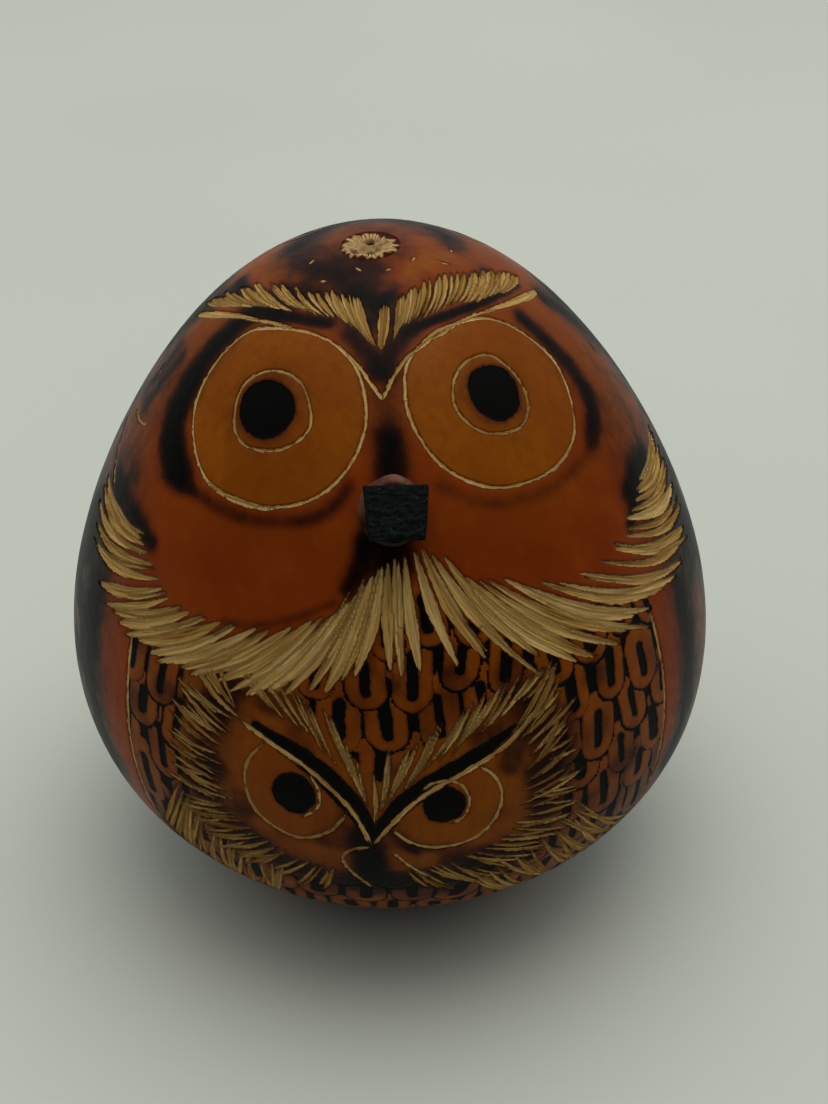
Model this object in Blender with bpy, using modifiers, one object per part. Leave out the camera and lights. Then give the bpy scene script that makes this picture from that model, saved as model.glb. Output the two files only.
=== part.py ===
"""Owl carved from a whole dried gourd: a hollow rind with a stem stub, a glued beak, pith and dry seeds.

Metres, +Z up, origin at the centre of the sanded base. The owl looks along -Y.
"""

import math

import bmesh
import bpy
from mathutils import Euler, Matrix, Vector

# The gourd's outside. Its outline is an ellipse that narrows towards the crown. Places on it are
# given as a latitude, from -90 degrees at the blossom end to 90 at the crown.
HEIGHT = 0.0901
BELLY_RADIUS = 0.04335
BASE_RADIUS = 0.0130
TAPER = 0.257
FULLNESS = 0.029
POINTEDNESS = 0.064
CROWN_LEAN = 0.00136

# The rind and what closes its two holes.
WALL = 0.0034
CLEARANCE = 0.0003
CROWN_HOLE_RADIUS = 0.0043
CROWN_HOLE_OFFSET = (-0.0012, -0.0015)
STEM_DEPTH = 0.0060
STEM_TAPER = 0.0012
STEM_RIM_DEPTH = 0.0003
STEM_CRATER_RADIUS = 0.0034
STEM_CRATER_FLOOR_RADIUS = 0.0022
STEM_CRATER_DEPTH = 0.0009
SOCKET_RADIUS = 0.0030
BEAK_LATITUDE = 34.44
BEAK_AZIMUTH = 2.4

# The beak, a block whose face slopes out to a blunt lower edge.
BEAK_TOP_WIDTH = 0.0076
BEAK_BOTTOM_WIDTH = 0.0064
BEAK_LENGTH = 0.0064
BEAK_TOP_REACH = 0.0030
BEAK_BOTTOM_REACH = 0.0046
BEAK_EDGE_ROUND = 0.0004
TENON_PAST_WALL = 0.0006
GLUE_RADIUS = 0.0043
GLUE_HEIGHT = 0.0009

# The dried pulp, a ragged cap inside the crown, and the room that it leaves round the two plugs.
PITH_THICKNESS = 0.0016
PITH_EDGE_LATITUDE = 28.11
PITH_HOLE_MARGIN = 0.0012
PITH_LOBES = 7
PITH_LOBE_RISE = 3.3
PITH_LOBE_SHARPNESS = 4

# The seeds. The loose ones lie in two rings on the floor of the hollow.
SEED_LENGTH = 0.0125
SEED_WIDTH = 0.0062
SEED_THICKNESS = 0.0024
SEED_TAPER = 0.28
RING_GAP = 0.0008
INNER_RING_SEEDS = 5
OUTER_RING_SEEDS = 9
SEED_SPIN_STEP = 67.0
HELD_SEEDS = 4
HELD_SEED_LATITUDE = 42.58
HELD_SEED_AZIMUTH = 52.0

# How finely the round pieces are faceted.
SHELL_SIDES = 48
SHELL_BANDS = 24
PITH_SIDES = 32
PITH_BANDS = 8
HOLE_SIDES = 32
SEED_SIDES = 12
SEED_BANDS = 8
MERGE_DISTANCE = 0.00001
OUTLINE_SAMPLES = 400
SOLVE_STEPS = 60
CUTTER_REACH = 0.01

COLOURS = {
    "rind": ((0.33, 0.115, 0.022), 0.38),
    "stem": ((0.46, 0.33, 0.19), 0.85),
    "black_wood": ((0.012, 0.014, 0.014), 0.6),
    "glue": ((0.38, 0.27, 0.20), 0.15),
    "pith": ((0.72, 0.62, 0.44), 0.95),
    "seed": ((0.55, 0.40, 0.22), 0.7),
}


# ---------------------------------------------------------------- the outline


def girth(angle):
    """Radius of the gourd at a polar angle from its middle, as a share of its scale, and its slope."""
    sine = math.sin(angle)
    cosine = math.cos(angle)
    shape = 1 - TAPER * sine + FULLNESS * sine**2 + POINTEDNESS * sine**3
    shape_slope = -TAPER + 2 * FULLNESS * sine + 3 * POINTEDNESS * sine**2
    return cosine * shape, -sine * shape + cosine * cosine * shape_slope


def angles(start, end, count):
    return [start + (end - start) * i / count for i in range(count + 1)]


def half_solve(test, low, high):
    """Where a rising test turns true between low and high."""
    for _ in range(SOLVE_STEPS):
        middle = (low + high) / 2
        if test(middle):
            high = middle
        else:
            low = middle
    return high


GIRTH_SCALE = BELLY_RADIUS / max(girth(a)[0] for a in angles(-math.pi / 2, math.pi / 2, OUTLINE_SAMPLES))
BASE_ANGLE = half_solve(lambda a: girth(a)[0] * GIRTH_SCALE > BASE_RADIUS, -math.pi / 2, 0.0)
HALF_HEIGHT = HEIGHT / (1 - math.sin(BASE_ANGLE))


def skin(angle, inset=0.0):
    """(radius, height) on the gourd's outline, moved inwards along its normal by inset."""
    share, slope = girth(angle)
    outwards = Vector((HALF_HEIGHT * math.cos(angle), -GIRTH_SCALE * slope)).normalized()
    radius = GIRTH_SCALE * share - inset * outwards.x
    height = HALF_HEIGHT * (math.sin(angle) - math.sin(BASE_ANGLE)) - inset * outwards.y
    return radius, height


def skin_normal_elevation(angle):
    """How far above level the outside faces, in radians."""
    slope = girth(angle)[1]
    return math.atan2(-GIRTH_SCALE * slope, HALF_HEIGHT * math.cos(angle))


def centre_x(height):
    """The gourd grew a little crooked: its crown leans towards -X."""
    return -CROWN_LEAN * (height / HEIGHT) ** 2


def wall_height(radius, lower, inset):
    """Height of the hollow's floor (lower) or ceiling at a distance from the axis."""
    if lower:
        rise = half_solve(lambda a: skin(a, inset)[0] > radius, BASE_ANGLE, 0.0)
        return max(inset, skin(rise, inset)[1])
    fall = half_solve(lambda a: skin(a, inset)[0] < radius, 0.0, math.pi / 2)
    return skin(fall, inset)[1]


# ---------------------------------------------------------------- Blender helpers


def clear_scene():
    for thing in list(bpy.data.objects):
        bpy.data.objects.remove(thing, do_unlink=True)


def new_collection(name):
    collection = bpy.data.collections.new(name)
    bpy.context.scene.collection.children.link(collection)
    return collection


def new_material(name):
    colour, roughness = COLOURS[name]
    material = bpy.data.materials.new(name)
    material.use_nodes = True
    shader = material.node_tree.nodes["Principled BSDF"]
    shader.inputs["Base Color"].default_value = (*colour, 1.0)
    shader.inputs["Roughness"].default_value = roughness
    shader.inputs["Metallic"].default_value = 0.0
    material.diffuse_color = (*colour, 1.0)
    return material


def add_object(name, mesh, collection, material=None):
    thing = bpy.data.objects.new(name, mesh)
    collection.objects.link(thing)
    if material:
        mesh.materials.clear()
        mesh.materials.append(material)
    return thing


def as_cutter(thing):
    thing.hide_render = True
    thing.display_type = "WIRE"
    return thing


def turned(name, profile, sides, collection):
    """An object that spins an outline of (radius, height) points, listed top to bottom, round Z."""
    mesh = bpy.data.meshes.new(name)
    points = [(radius, 0.0, height) for radius, height in profile]
    mesh.from_pydata(points, [(i, i + 1) for i in range(len(points) - 1)], [])
    thing = add_object(name, mesh, collection)
    screw = thing.modifiers.new("spin", "SCREW")
    screw.steps = sides
    screw.render_steps = sides
    screw.use_merge_vertices = True
    screw.merge_threshold = MERGE_DISTANCE
    return thing


def thicken(thing, thickness):
    solidify = thing.modifiers.new("wall", "SOLIDIFY")
    solidify.thickness = thickness
    solidify.offset = -1.0
    solidify.use_even_offset = True


def settle(thing):
    """Turns the modifiers' result into the object's own mesh."""
    graph = bpy.context.evaluated_depsgraph_get()
    mesh = bpy.data.meshes.new_from_object(thing.evaluated_get(graph))
    thing.modifiers.clear()
    thing.data = mesh
    return thing


def lean(thing):
    """Shifts each level of the mesh with the gourd's crooked centre line."""
    for vertex in thing.data.vertices:
        vertex.co.x += centre_x(vertex.co.z)


def smooth(thing, crease_degrees=35):
    thing.data.shade_smooth()
    thing.data.set_sharp_from_angle(angle=math.radians(crease_degrees))


def cut(thing, cutter, operation="DIFFERENCE"):
    boolean = thing.modifiers.new(cutter.name, "BOOLEAN")
    boolean.operation = operation
    boolean.solver = "EXACT"
    boolean.object = cutter


def rod(name, radius, low, high, collection, parent=None):
    """A round rod along its own Z, from low to high."""
    mesh = bpy.data.meshes.new(name)
    shape = bmesh.new()
    bmesh.ops.create_cone(
        shape,
        cap_ends=True,
        segments=HOLE_SIDES,
        radius1=radius,
        radius2=radius,
        depth=high - low,
        matrix=Matrix.Translation((0, 0, (low + high) / 2)),
    )
    shape.to_mesh(mesh)
    shape.free()
    thing = add_object(name, mesh, collection)
    thing.parent = parent
    return thing


def crown_rod(name, radius, cutters):
    """A cutter that stands upright through the crown, where the stem grew."""
    thing = as_cutter(rod(name, radius, -CUTTER_REACH - WALL, CUTTER_REACH, cutters))
    thing.location = (centre_x(HEIGHT) + CROWN_HOLE_OFFSET[0], CROWN_HOLE_OFFSET[1], HEIGHT)
    return thing


# ---------------------------------------------------------------- the rind


def make_shell(parts, cutters, beak_seat):
    profile = [skin(a) for a in angles(math.pi / 2, BASE_ANGLE, SHELL_BANDS)]
    profile.append((0.0, 0.0))
    shell = turned("gourd_shell", profile, SHELL_SIDES, parts)
    thicken(shell, WALL)
    settle(shell)
    lean(shell)
    shell.data.materials.append(new_material("rind"))
    cut(shell, crown_rod("crown_hole", CROWN_HOLE_RADIUS, cutters))
    socket = rod("beak_socket", SOCKET_RADIUS, -CUTTER_REACH, CUTTER_REACH, cutters, beak_seat)
    cut(shell, as_cutter(socket))
    smooth(shell)
    return shell


# ---------------------------------------------------------------- what closes the holes


def make_stem_stub(parts):
    """A plug with a cratered top, thinner at its inner end."""
    radius = CROWN_HOLE_RADIUS - CLEARANCE
    profile = [
        (0.0, -STEM_CRATER_DEPTH),
        (STEM_CRATER_FLOOR_RADIUS, -STEM_CRATER_DEPTH),
        (STEM_CRATER_RADIUS, -STEM_RIM_DEPTH),
        (radius, -STEM_RIM_DEPTH),
        (radius, -WALL),
        (radius - STEM_TAPER, -STEM_DEPTH),
        (0.0, -STEM_DEPTH),
    ]
    stub = settle(turned("stem_stub", profile, HOLE_SIDES, parts))
    stub.location = (centre_x(HEIGHT) + CROWN_HOLE_OFFSET[0], CROWN_HOLE_OFFSET[1], HEIGHT)
    stub.data.materials.append(new_material("stem"))
    smooth(stub)
    return stub


def make_beak_seat(parts):
    """An empty on the outside where the beak stands: its Z points out of the gourd, its Y up the face."""
    angle = math.radians(BEAK_LATITUDE)
    radius, height = skin(angle)
    azimuth = math.radians(BEAK_AZIMUTH)
    seat = bpy.data.objects.new("beak_seat", None)
    seat.empty_display_size = SOCKET_RADIUS
    seat.location = (
        centre_x(height) + radius * math.sin(azimuth),
        -radius * math.cos(azimuth),
        height,
    )
    seat.rotation_euler = Euler((math.pi / 2 - skin_normal_elevation(angle), 0.0, azimuth))
    parts.objects.link(seat)
    return seat


def make_beak(parts, cutters, seat):
    """A block with a sloping face, joined to a round tenon that sits in the socket."""
    back = GLUE_HEIGHT + CLEARANCE
    mesh = bpy.data.meshes.new("beak")
    shape = bmesh.new()
    bmesh.ops.create_cube(shape, size=1.0)
    for vertex in shape.verts:
        top = vertex.co.y > 0
        width = BEAK_TOP_WIDTH if top else BEAK_BOTTOM_WIDTH
        reach = BEAK_TOP_REACH if top else BEAK_BOTTOM_REACH
        vertex.co.x *= width
        vertex.co.y *= BEAK_LENGTH
        vertex.co.z = reach if vertex.co.z > 0 else back
    shape.to_mesh(mesh)
    shape.free()
    beak = add_object("beak", mesh, parts, new_material("black_wood"))
    beak.parent = seat
    bevel = beak.modifiers.new("worn_edges", "BEVEL")
    bevel.width = BEAK_EDGE_ROUND
    bevel.segments = 2
    tenon = rod(
        "beak_tenon",
        SOCKET_RADIUS - CLEARANCE,
        -WALL - TENON_PAST_WALL,
        (back + BEAK_TOP_REACH) / 2,
        cutters,
        seat,
    )
    cut(beak, as_cutter(tenon), "UNION")
    smooth(beak)
    return beak


def make_glue(parts, cutters, seat):
    """A low round bead whose underside follows the gourd, with a bore for the tenon."""
    glue = rod("beak_glue", GLUE_RADIUS, -GLUE_HEIGHT, GLUE_HEIGHT, parts, seat)
    glue.data.materials.append(new_material("glue"))
    profile = [skin(a, -CLEARANCE) for a in angles(math.pi / 2, -math.pi / 2, SHELL_BANDS * 2)]
    body = settle(turned("body_and_gap", profile, SHELL_SIDES * 2, cutters))
    lean(body)
    cut(glue, as_cutter(body))
    bore = rod("glue_bore", SOCKET_RADIUS, -CUTTER_REACH, CUTTER_REACH, cutters, seat)
    cut(glue, as_cutter(bore))
    smooth(glue)
    return glue


# ---------------------------------------------------------------- what grew inside


def make_pith(parts, cutters, seat):
    """A thin cap of dried pulp under the crown, with a lobed lower edge and room for the plugs."""
    outside = WALL + CLEARANCE
    edge = math.radians(PITH_EDGE_LATITUDE)
    rows = angles(math.pi / 2, edge, PITH_BANDS)
    pith = settle(turned("pith", [skin(a, outside) for a in rows], PITH_SIDES, parts))
    crown_height = skin(math.pi / 2, outside)[1]
    reach = crown_height - skin(edge, outside)[1]
    for vertex in pith.data.vertices:
        distance = math.hypot(vertex.co.x, vertex.co.y)
        if distance > MERGE_DISTANCE:
            turn = math.atan2(vertex.co.y, vertex.co.x)
            droop = (crown_height - vertex.co.z) / reach
            raised = PITH_LOBE_RISE * droop**PITH_LOBE_SHARPNESS * (0.5 + 0.5 * math.cos(PITH_LOBES * turn))
            level = half_solve(lambda a: skin(a, outside)[1] > vertex.co.z, edge, math.pi / 2)
            radius, height = skin(min(level + math.radians(raised), math.pi / 2), outside)
            vertex.co = (math.cos(turn) * radius, math.sin(turn) * radius, height)
    thicken(pith, PITH_THICKNESS)
    settle(pith)
    lean(pith)
    pith.data.materials.append(new_material("pith"))
    cut(pith, crown_rod("pith_crown_hole", CROWN_HOLE_RADIUS + PITH_HOLE_MARGIN, cutters))
    hole = rod("pith_beak_hole", SOCKET_RADIUS + PITH_HOLE_MARGIN, -CUTTER_REACH, CUTTER_REACH, cutters, seat)
    cut(pith, as_cutter(hole))
    smooth(pith)
    return pith


def seed_mesh(material):
    """A flat seed with a broad end at +X, its length along X and its thickness along Z."""
    widening = 1 + SEED_TAPER**2 / 8  # how much the taper adds at the widest point
    mesh = bpy.data.meshes.new("seed")
    shape = bmesh.new()
    bmesh.ops.create_uvsphere(
        shape,
        u_segments=SEED_SIDES,
        v_segments=SEED_BANDS,
        radius=0.5,
        matrix=Matrix.Rotation(math.pi / 2, 4, "Y"),
    )
    for vertex in shape.verts:
        along = vertex.co.x
        vertex.co.y *= SEED_WIDTH * (1 + SEED_TAPER * along) / widening
        vertex.co.z *= SEED_THICKNESS
        vertex.co.x *= SEED_LENGTH
    shape.to_mesh(mesh)
    shape.free()
    mesh.materials.append(material)
    mesh.shade_smooth()
    return mesh


def place_seed(name, mesh, parts, location, turn):
    seed = bpy.data.objects.new(name, mesh)
    seed.location = location
    seed.rotation_euler = turn.to_euler()
    parts.objects.link(seed)
    return seed


def floor_turn(distance, azimuth, spin):
    """How a seed lies on the floor of the hollow, where the floor rises away from the axis."""
    step = SEED_WIDTH / 2
    near = wall_height(max(distance - step, 0.0), True, WALL)
    far = wall_height(distance + step, True, WALL)
    slope = math.atan2(far - near, 2 * step)
    lie = Matrix.Rotation(azimuth, 3, "Z") @ Matrix.Rotation(-slope, 3, "Y")
    return lie @ Matrix.Rotation(spin, 3, "Z")


def loose_seed(number, mesh, parts, distance, azimuth, spin):
    """A seed at rest on the floor, lifted until each of its points clears the rind."""
    turn = floor_turn(distance, azimuth, spin)
    foot = Vector((distance * math.cos(azimuth), distance * math.sin(azimuth), 0.0))
    lift = 0.0
    for vertex in mesh.vertices:
        point = foot + turn @ vertex.co
        floor = wall_height(math.hypot(point.x, point.y), True, WALL)
        lift = max(lift, floor + CLEARANCE - point.z)
    return place_seed(f"loose_seed_{number:02d}", mesh, parts, foot + Vector((0, 0, lift)), turn)


def make_loose_seeds(mesh, parts):
    """Two rings, spaced so that each seed can turn any way over its own patch of floor."""
    room = SEED_LENGTH + RING_GAP
    inner = room / (2 * math.sin(math.pi / INNER_RING_SEEDS))
    rings = ((INNER_RING_SEEDS, inner), (OUTER_RING_SEEDS, inner + room))
    number = 0
    for count, distance in rings:
        for place in range(count):
            number += 1
            azimuth = 2 * math.pi * (place + 0.5) / count
            loose_seed(number, mesh, parts, distance, azimuth, math.radians(SEED_SPIN_STEP * number))


def make_held_seeds(mesh, parts):
    """Seeds lengthwise round the inside of the pith."""
    inset = WALL + 2 * CLEARANCE + PITH_THICKNESS + SEED_THICKNESS / 2
    angle = math.radians(HELD_SEED_LATITUDE)
    radius, height = skin(angle, inset)
    bulge = SEED_LENGTH**2 / (8 * radius)
    elevation = skin_normal_elevation(angle)
    for place in range(HELD_SEEDS):
        azimuth = math.radians(HELD_SEED_AZIMUTH) + 2 * math.pi * place / HELD_SEEDS
        outwards = Vector((math.cos(azimuth), math.sin(azimuth), 0.0))
        inward_shift = bulge * (outwards * math.cos(elevation) + Vector((0, 0, math.sin(elevation))))
        location = outwards * radius + Vector((centre_x(height), 0, height)) - inward_shift
        turn = Matrix.Rotation(azimuth, 3, "Z") @ Matrix.Rotation(math.pi / 2 - elevation, 3, "Y")
        turn = turn @ Matrix.Rotation(math.pi / 2, 3, "Z")
        place_seed(f"held_seed_{place + 1:02d}", mesh, parts, location, turn)


def main():
    clear_scene()
    parts = new_collection("gourd_owl")
    cutters = new_collection("gourd_owl_cutters")
    seat = make_beak_seat(parts)
    make_shell(parts, cutters, seat)
    make_stem_stub(parts)
    make_beak(parts, cutters, seat)
    make_glue(parts, cutters, seat)
    make_pith(parts, cutters, seat)
    seeds = seed_mesh(new_material("seed"))
    make_held_seeds(seeds, parts)
    make_loose_seeds(seeds, parts)


main()
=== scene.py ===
import math
from contextlib import contextmanager

import bmesh
import bpy
import numpy as np
from mathutils import Euler, Matrix, Vector


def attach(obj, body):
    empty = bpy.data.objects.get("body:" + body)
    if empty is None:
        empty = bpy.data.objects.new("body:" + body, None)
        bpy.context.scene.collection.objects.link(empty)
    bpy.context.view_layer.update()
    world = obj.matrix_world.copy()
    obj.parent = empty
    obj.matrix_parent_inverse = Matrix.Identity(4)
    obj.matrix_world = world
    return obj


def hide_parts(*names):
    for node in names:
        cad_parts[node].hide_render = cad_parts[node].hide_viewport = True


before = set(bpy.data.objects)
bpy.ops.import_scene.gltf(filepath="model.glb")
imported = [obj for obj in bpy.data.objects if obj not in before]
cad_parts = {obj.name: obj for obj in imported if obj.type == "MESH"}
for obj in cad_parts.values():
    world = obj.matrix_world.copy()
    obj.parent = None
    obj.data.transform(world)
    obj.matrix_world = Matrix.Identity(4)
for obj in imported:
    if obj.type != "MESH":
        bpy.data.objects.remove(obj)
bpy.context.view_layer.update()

# Lengths are millimetres until a mesh is made. Places on the gourd are (azimuth, drop): degrees
# round from the front, and the distance down the surface from the crown.
MM = 0.001
RANDOM = np.random.default_rng(7)

# The gourd's outline, the same as the CAD shell's.
HEIGHT = 90.1
BELLY_RADIUS = 43.35
BASE_RADIUS = 13.0
TAPER = 0.257
FULLNESS = 0.029
POINTEDNESS = 0.064
CROWN_LEAN = 1.36
OUTLINE_SAMPLES = 6001
UPPER_HALF = slice(0, OUTLINE_SAMPLES // 2)
WALL = 3.4
SKIN_INSET = 0.03           # how far the skin lies inside the outline
TOP_LIMIT = 89.9            # the highest that the skin or the stub may reach
SCAR_OFFSET = (-1.2, -1.5)  # the stem scar's centre, from the crown
SCAR_RADIUS = 3.6
SCAR_FADE = 26.0            # where the grid's circles have become level rings
BEAK_HEIGHT = 70.2
BEAK_AZIMUTH = 2.4

# How finely the skin is made: degrees between columns, mm between rows.
FRONT_HALF = 100.0
FRONT_STEP = 0.36
BACK_STEP = 0.5
FINE_STEP = 0.2
FINE_END = 100.0
COARSE_STEP = 0.36
INNER_ROWS = 36

UNMARKED = -2.0             # the value of CUT and INK far from any mark


# ---- the gourd's surface


def outline_tables():
    """Drop, radius, height and the normal's two parts along the outline, crown to base."""
    angle = np.linspace(math.pi / 2, -math.pi / 2, OUTLINE_SAMPLES)
    sine, cosine = np.sin(angle), np.cos(angle)
    share = cosine * (1 - TAPER * sine + FULLNESS * sine**2 + POINTEDNESS * sine**3)
    scale = BELLY_RADIUS / share.max()
    keep = (angle > 0) | (share * scale >= BASE_RADIUS)
    sine, cosine, share = sine[keep], cosine[keep], share[keep]
    half = HEIGHT / (1 - sine[-1])
    radius = share * scale
    height = half * (sine - sine[-1])
    drop = np.concatenate([[0], np.cumsum(np.hypot(np.diff(radius), np.diff(height)))])
    slope_r, slope_z = np.gradient(radius, drop), np.gradient(height, drop)
    length = np.hypot(slope_r, slope_z)
    return drop, radius, height, -slope_z / length, slope_r / length


DROPS, RADII, HEIGHTS, LEVEL, UPWARD = outline_tables()
LAST_DROP = DROPS[-1]
BEAK_DROP = float(np.interp(-BEAK_HEIGHT, -HEIGHTS, DROPS))


def surface(azimuth, drop, inset=0.0):
    """Points on the gourd, (..., 3)."""
    turn = np.radians(azimuth)
    radius = np.interp(drop, DROPS, RADII) - inset * np.interp(drop, DROPS, LEVEL)
    height = np.interp(drop, DROPS, HEIGHTS) - inset * np.interp(drop, DROPS, UPWARD)
    lean = CROWN_LEAN * (np.interp(drop, DROPS, HEIGHTS) / HEIGHT) ** 2
    return np.stack([radius * np.sin(turn) - lean, -radius * np.cos(turn), height], -1)


def outward(azimuth, drop):
    turn = np.radians(azimuth)
    level = np.interp(drop, DROPS, LEVEL)
    return np.stack([level * np.sin(turn), -level * np.cos(turn), np.interp(drop, DROPS, UPWARD)], -1)


def girth_at(drop):
    return np.interp(drop, DROPS, RADII)


# ---- the grid of skin points


def grid_columns():
    front = np.arange(-FRONT_HALF, FRONT_HALF, FRONT_STEP)
    back = np.arange(FRONT_HALF, 360 - FRONT_HALF, BACK_STEP)
    return np.concatenate([front, back])


def grid_rows():
    fine = np.arange(SCAR_RADIUS, FINE_END, FINE_STEP)
    coarse = np.linspace(FINE_END, LAST_DROP, int((LAST_DROP - FINE_END) / COARSE_STEP))
    return np.concatenate([fine, coarse])


def from_scar(column, row):
    """The grid's circles start round the stem scar and become level rings lower down."""
    fade = np.clip(1 - (row - SCAR_RADIUS) / SCAR_FADE, 0, 1)
    fade = fade * fade * (3 - 2 * fade)
    across = row * np.sin(np.radians(column)) + SCAR_OFFSET[0] * fade
    towards = row * np.cos(np.radians(column)) - SCAR_OFFSET[1] * fade
    return np.degrees(np.arctan2(across, towards)), np.hypot(across, towards)


COLUMNS = grid_columns()
ROWS = grid_rows()
AZIMUTH, DROP = from_scar(COLUMNS[None, :], ROWS[:, None])
POINTS = surface(AZIMUTH, DROP)
NORMALS = outward(AZIMUTH, DROP)
SHAPE = AZIMUTH.shape

CUT = np.full(SHAPE, UNMARKED)  # mm inside the edge of a gouged stroke
INK = np.full(SHAPE, UNMARKED)  # mm inside the edge of a charred shape
SCORCH_AND_SHADE = np.zeros(SHAPE)          # soft smoke, with painted shadow under the beak, 0 to 1
GOLD = np.zeros(SHAPE)          # amber dye, 0 to 1
SIDE = np.zeros(SHAPE)          # mm across the stroke
ALONG = np.zeros(SHAPE)         # mm along the stroke
SHADE = np.full(SHAPE, 0.5)     # each stroke's own lightness
DEPTH = np.zeros(SHAPE)         # mm carved away


def wrapped(degrees):
    return (degrees + 180) % 360 - 180


def block(guides, reach):
    """The part of the grid within reach of some (azimuth, drop) guides."""
    azimuths, drops = np.array(guides, float).T
    crown = 3.0 if drops.min() < 32 else 0.0
    top, low = drops.min() - reach - crown, drops.max() + reach
    slimmest = max(4.0, min(girth_at(top), girth_at(low)))
    middle = (azimuths.min() + azimuths.max()) / 2
    half = (azimuths.max() - azimuths.min()) / 2 + math.degrees((reach + crown) / slimmest)
    columns = np.nonzero(np.abs(wrapped(COLUMNS - middle)) <= half)[0]
    rows = np.nonzero((ROWS >= top) & (ROWS <= low + crown))[0]
    return np.ix_(rows, columns)


def curve(guides, count, closed_loop=False):
    """count points spread along a smooth curve through a few guides."""
    guides = np.asarray(guides, float)
    size = len(guides)
    spans = size if closed_loop else size - 1
    place = np.linspace(0, spans, count, endpoint=not closed_loop)
    start = np.minimum(place.astype(int), spans - 1)
    t = (place - start)[:, None]

    def at(index):
        return guides[index % size] if closed_loop else guides[np.clip(index, 0, size - 1)]

    a, b, c, d = at(start - 1), at(start), at(start + 1), at(start + 2)
    return b + 0.5 * t * (c - a + t * (2 * a - 5 * b + 4 * c - d + t * (3 * (b - c) + d - a)))


def near_line(line, reach):
    """The grid within reach of a line of (azimuth, drop), the distance of its points to the line, their
    share along it and their distance to its side, and the line's length."""
    where = block(line, reach)
    path = surface(line[:, 0], line[:, 1])
    points, normals = POINTS[where].reshape(-1, 3), NORMALS[where].reshape(-1, 3)
    start, step = path[:-1], np.diff(path, axis=0)
    squared = (step * step).sum(1) + 1e-12
    away = points[:, None, :] - start[None]
    share = np.clip((away * step).sum(-1) / squared, 0, 1)
    away -= share[..., None] * step
    best = (away * away).sum(-1).argmin(1)
    pick = np.arange(len(points))
    away, share = away[pick, best], share[pick, best]
    lengths = np.sqrt(squared)
    heading = step[best] / lengths[best][:, None]
    distance = np.sqrt((away * away).sum(-1))
    side = (np.cross(normals, heading) * away).sum(-1)
    before = np.concatenate([[0], np.cumsum(lengths)[:-1]])
    along = (before[best] + share * lengths[best]) / lengths.sum()
    size = POINTS[where].shape[:2]
    return where, distance.reshape(size), along.reshape(size), side.reshape(size), lengths.sum()


def inside(loop, where):
    """Which points of the block are inside a closed loop of (azimuth, drop)."""
    x, y = AZIMUTH[where], DROP[where]
    found = np.zeros(x.shape, bool)
    for (x0, y0), (x1, y1) in zip(loop, np.roll(loop, -1, axis=0)):
        if y0 == y1:
            continue
        crosses = (y0 > y) != (y1 > y)
        found ^= crosses & (x < (x1 - x0) * (y - y0) / (y1 - y0) + x0)
    return found


def closed(line):
    return np.vstack([line, line[:1]])


def loop_depth(guides, reach, count=72):
    """Distance inside (positive) or outside a smooth closed loop, with its block of the grid."""
    loop = curve(guides, count, closed_loop=True)
    where, distance = near_line(closed(loop), reach)[:2]
    return np.where(inside(loop, where), distance, -distance), where


# ---- noise


def value_noise(points, size, seed):
    """Smooth noise, 0 to 1, with lumps of about size mm."""
    place = points / size + 100.0
    cell = np.floor(place).astype(np.int64)
    part = place - cell
    part = part * part * (3 - 2 * part)
    total = np.zeros(points.shape[:-1])
    for corner in range(8):
        step = np.array([corner & 1, corner >> 1 & 1, corner >> 2 & 1])
        x, y, z = np.moveaxis(cell + step, -1, 0)
        mixed = x * 73856093 ^ y * 19349663 ^ z * 83492791 ^ seed * 2654435761
        mixed = (mixed ^ mixed >> 13) * 1274126177 & 0x7FFFFFFF
        mixed = (mixed ^ mixed >> 15) & 0xFFFF
        total += np.prod(np.where(step, part, 1 - part), axis=-1) * mixed / 65535.0
    return total


def smoothstep(low, high, value):
    t = np.clip((value - low) / (high - low), 0, 1)
    return t * t * (3 - 2 * t)


# ---- the carver's marks


def record_stroke(where, edge, side, along, tone=0.0):
    """Keeps, at each point, the stroke that reaches furthest past its edge."""
    fresh = edge > CUT[where]
    for kept, value in ((CUT, edge), (SIDE, side + RANDOM.uniform(0, 400)),
                        (ALONG, along + RANDOM.uniform(0, 400)), (SHADE, RANDOM.uniform(0.25, 0.8) + tone)):
        kept[where] = np.where(fresh, value, kept[where])


def carve_away(where, depth):
    DEPTH[where] = np.maximum(DEPTH[where], depth)


def dye(where, amount):
    GOLD[where] = np.maximum(GOLD[where], amount)


def ink(where, inside_edge):
    INK[where] = np.maximum(INK[where], inside_edge)


def gouge(guides, width, depth, root=0.12, belly=0.5, tip=0.1, tone=0.0):
    """A leaf-shaped stroke from its root to its tip."""
    where, distance, along, side, length = near_line(curve(guides, 11), width + 0.6)
    rising = np.clip(along / belly, 0, 1)
    falling = np.clip((1 - along) / (1 - belly), 0, 1)
    leaf = np.minimum(root + (1 - root) * rising**0.7, tip + (1 - tip) * falling**0.65)
    half = 0.5 * width * leaf
    record_stroke(where, half - distance, side, along * length, tone)
    ridges = 1 + 0.22 * np.sin(side * 9.0 + along * 2.0 + RANDOM.uniform(0, 6))
    bowl = depth * np.clip(1 - (distance / (half + 0.08)) ** 2, 0, 1) ** 0.6 * ridges
    carve_away(where, bowl * (0.55 + 0.45 * leaf))


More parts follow.
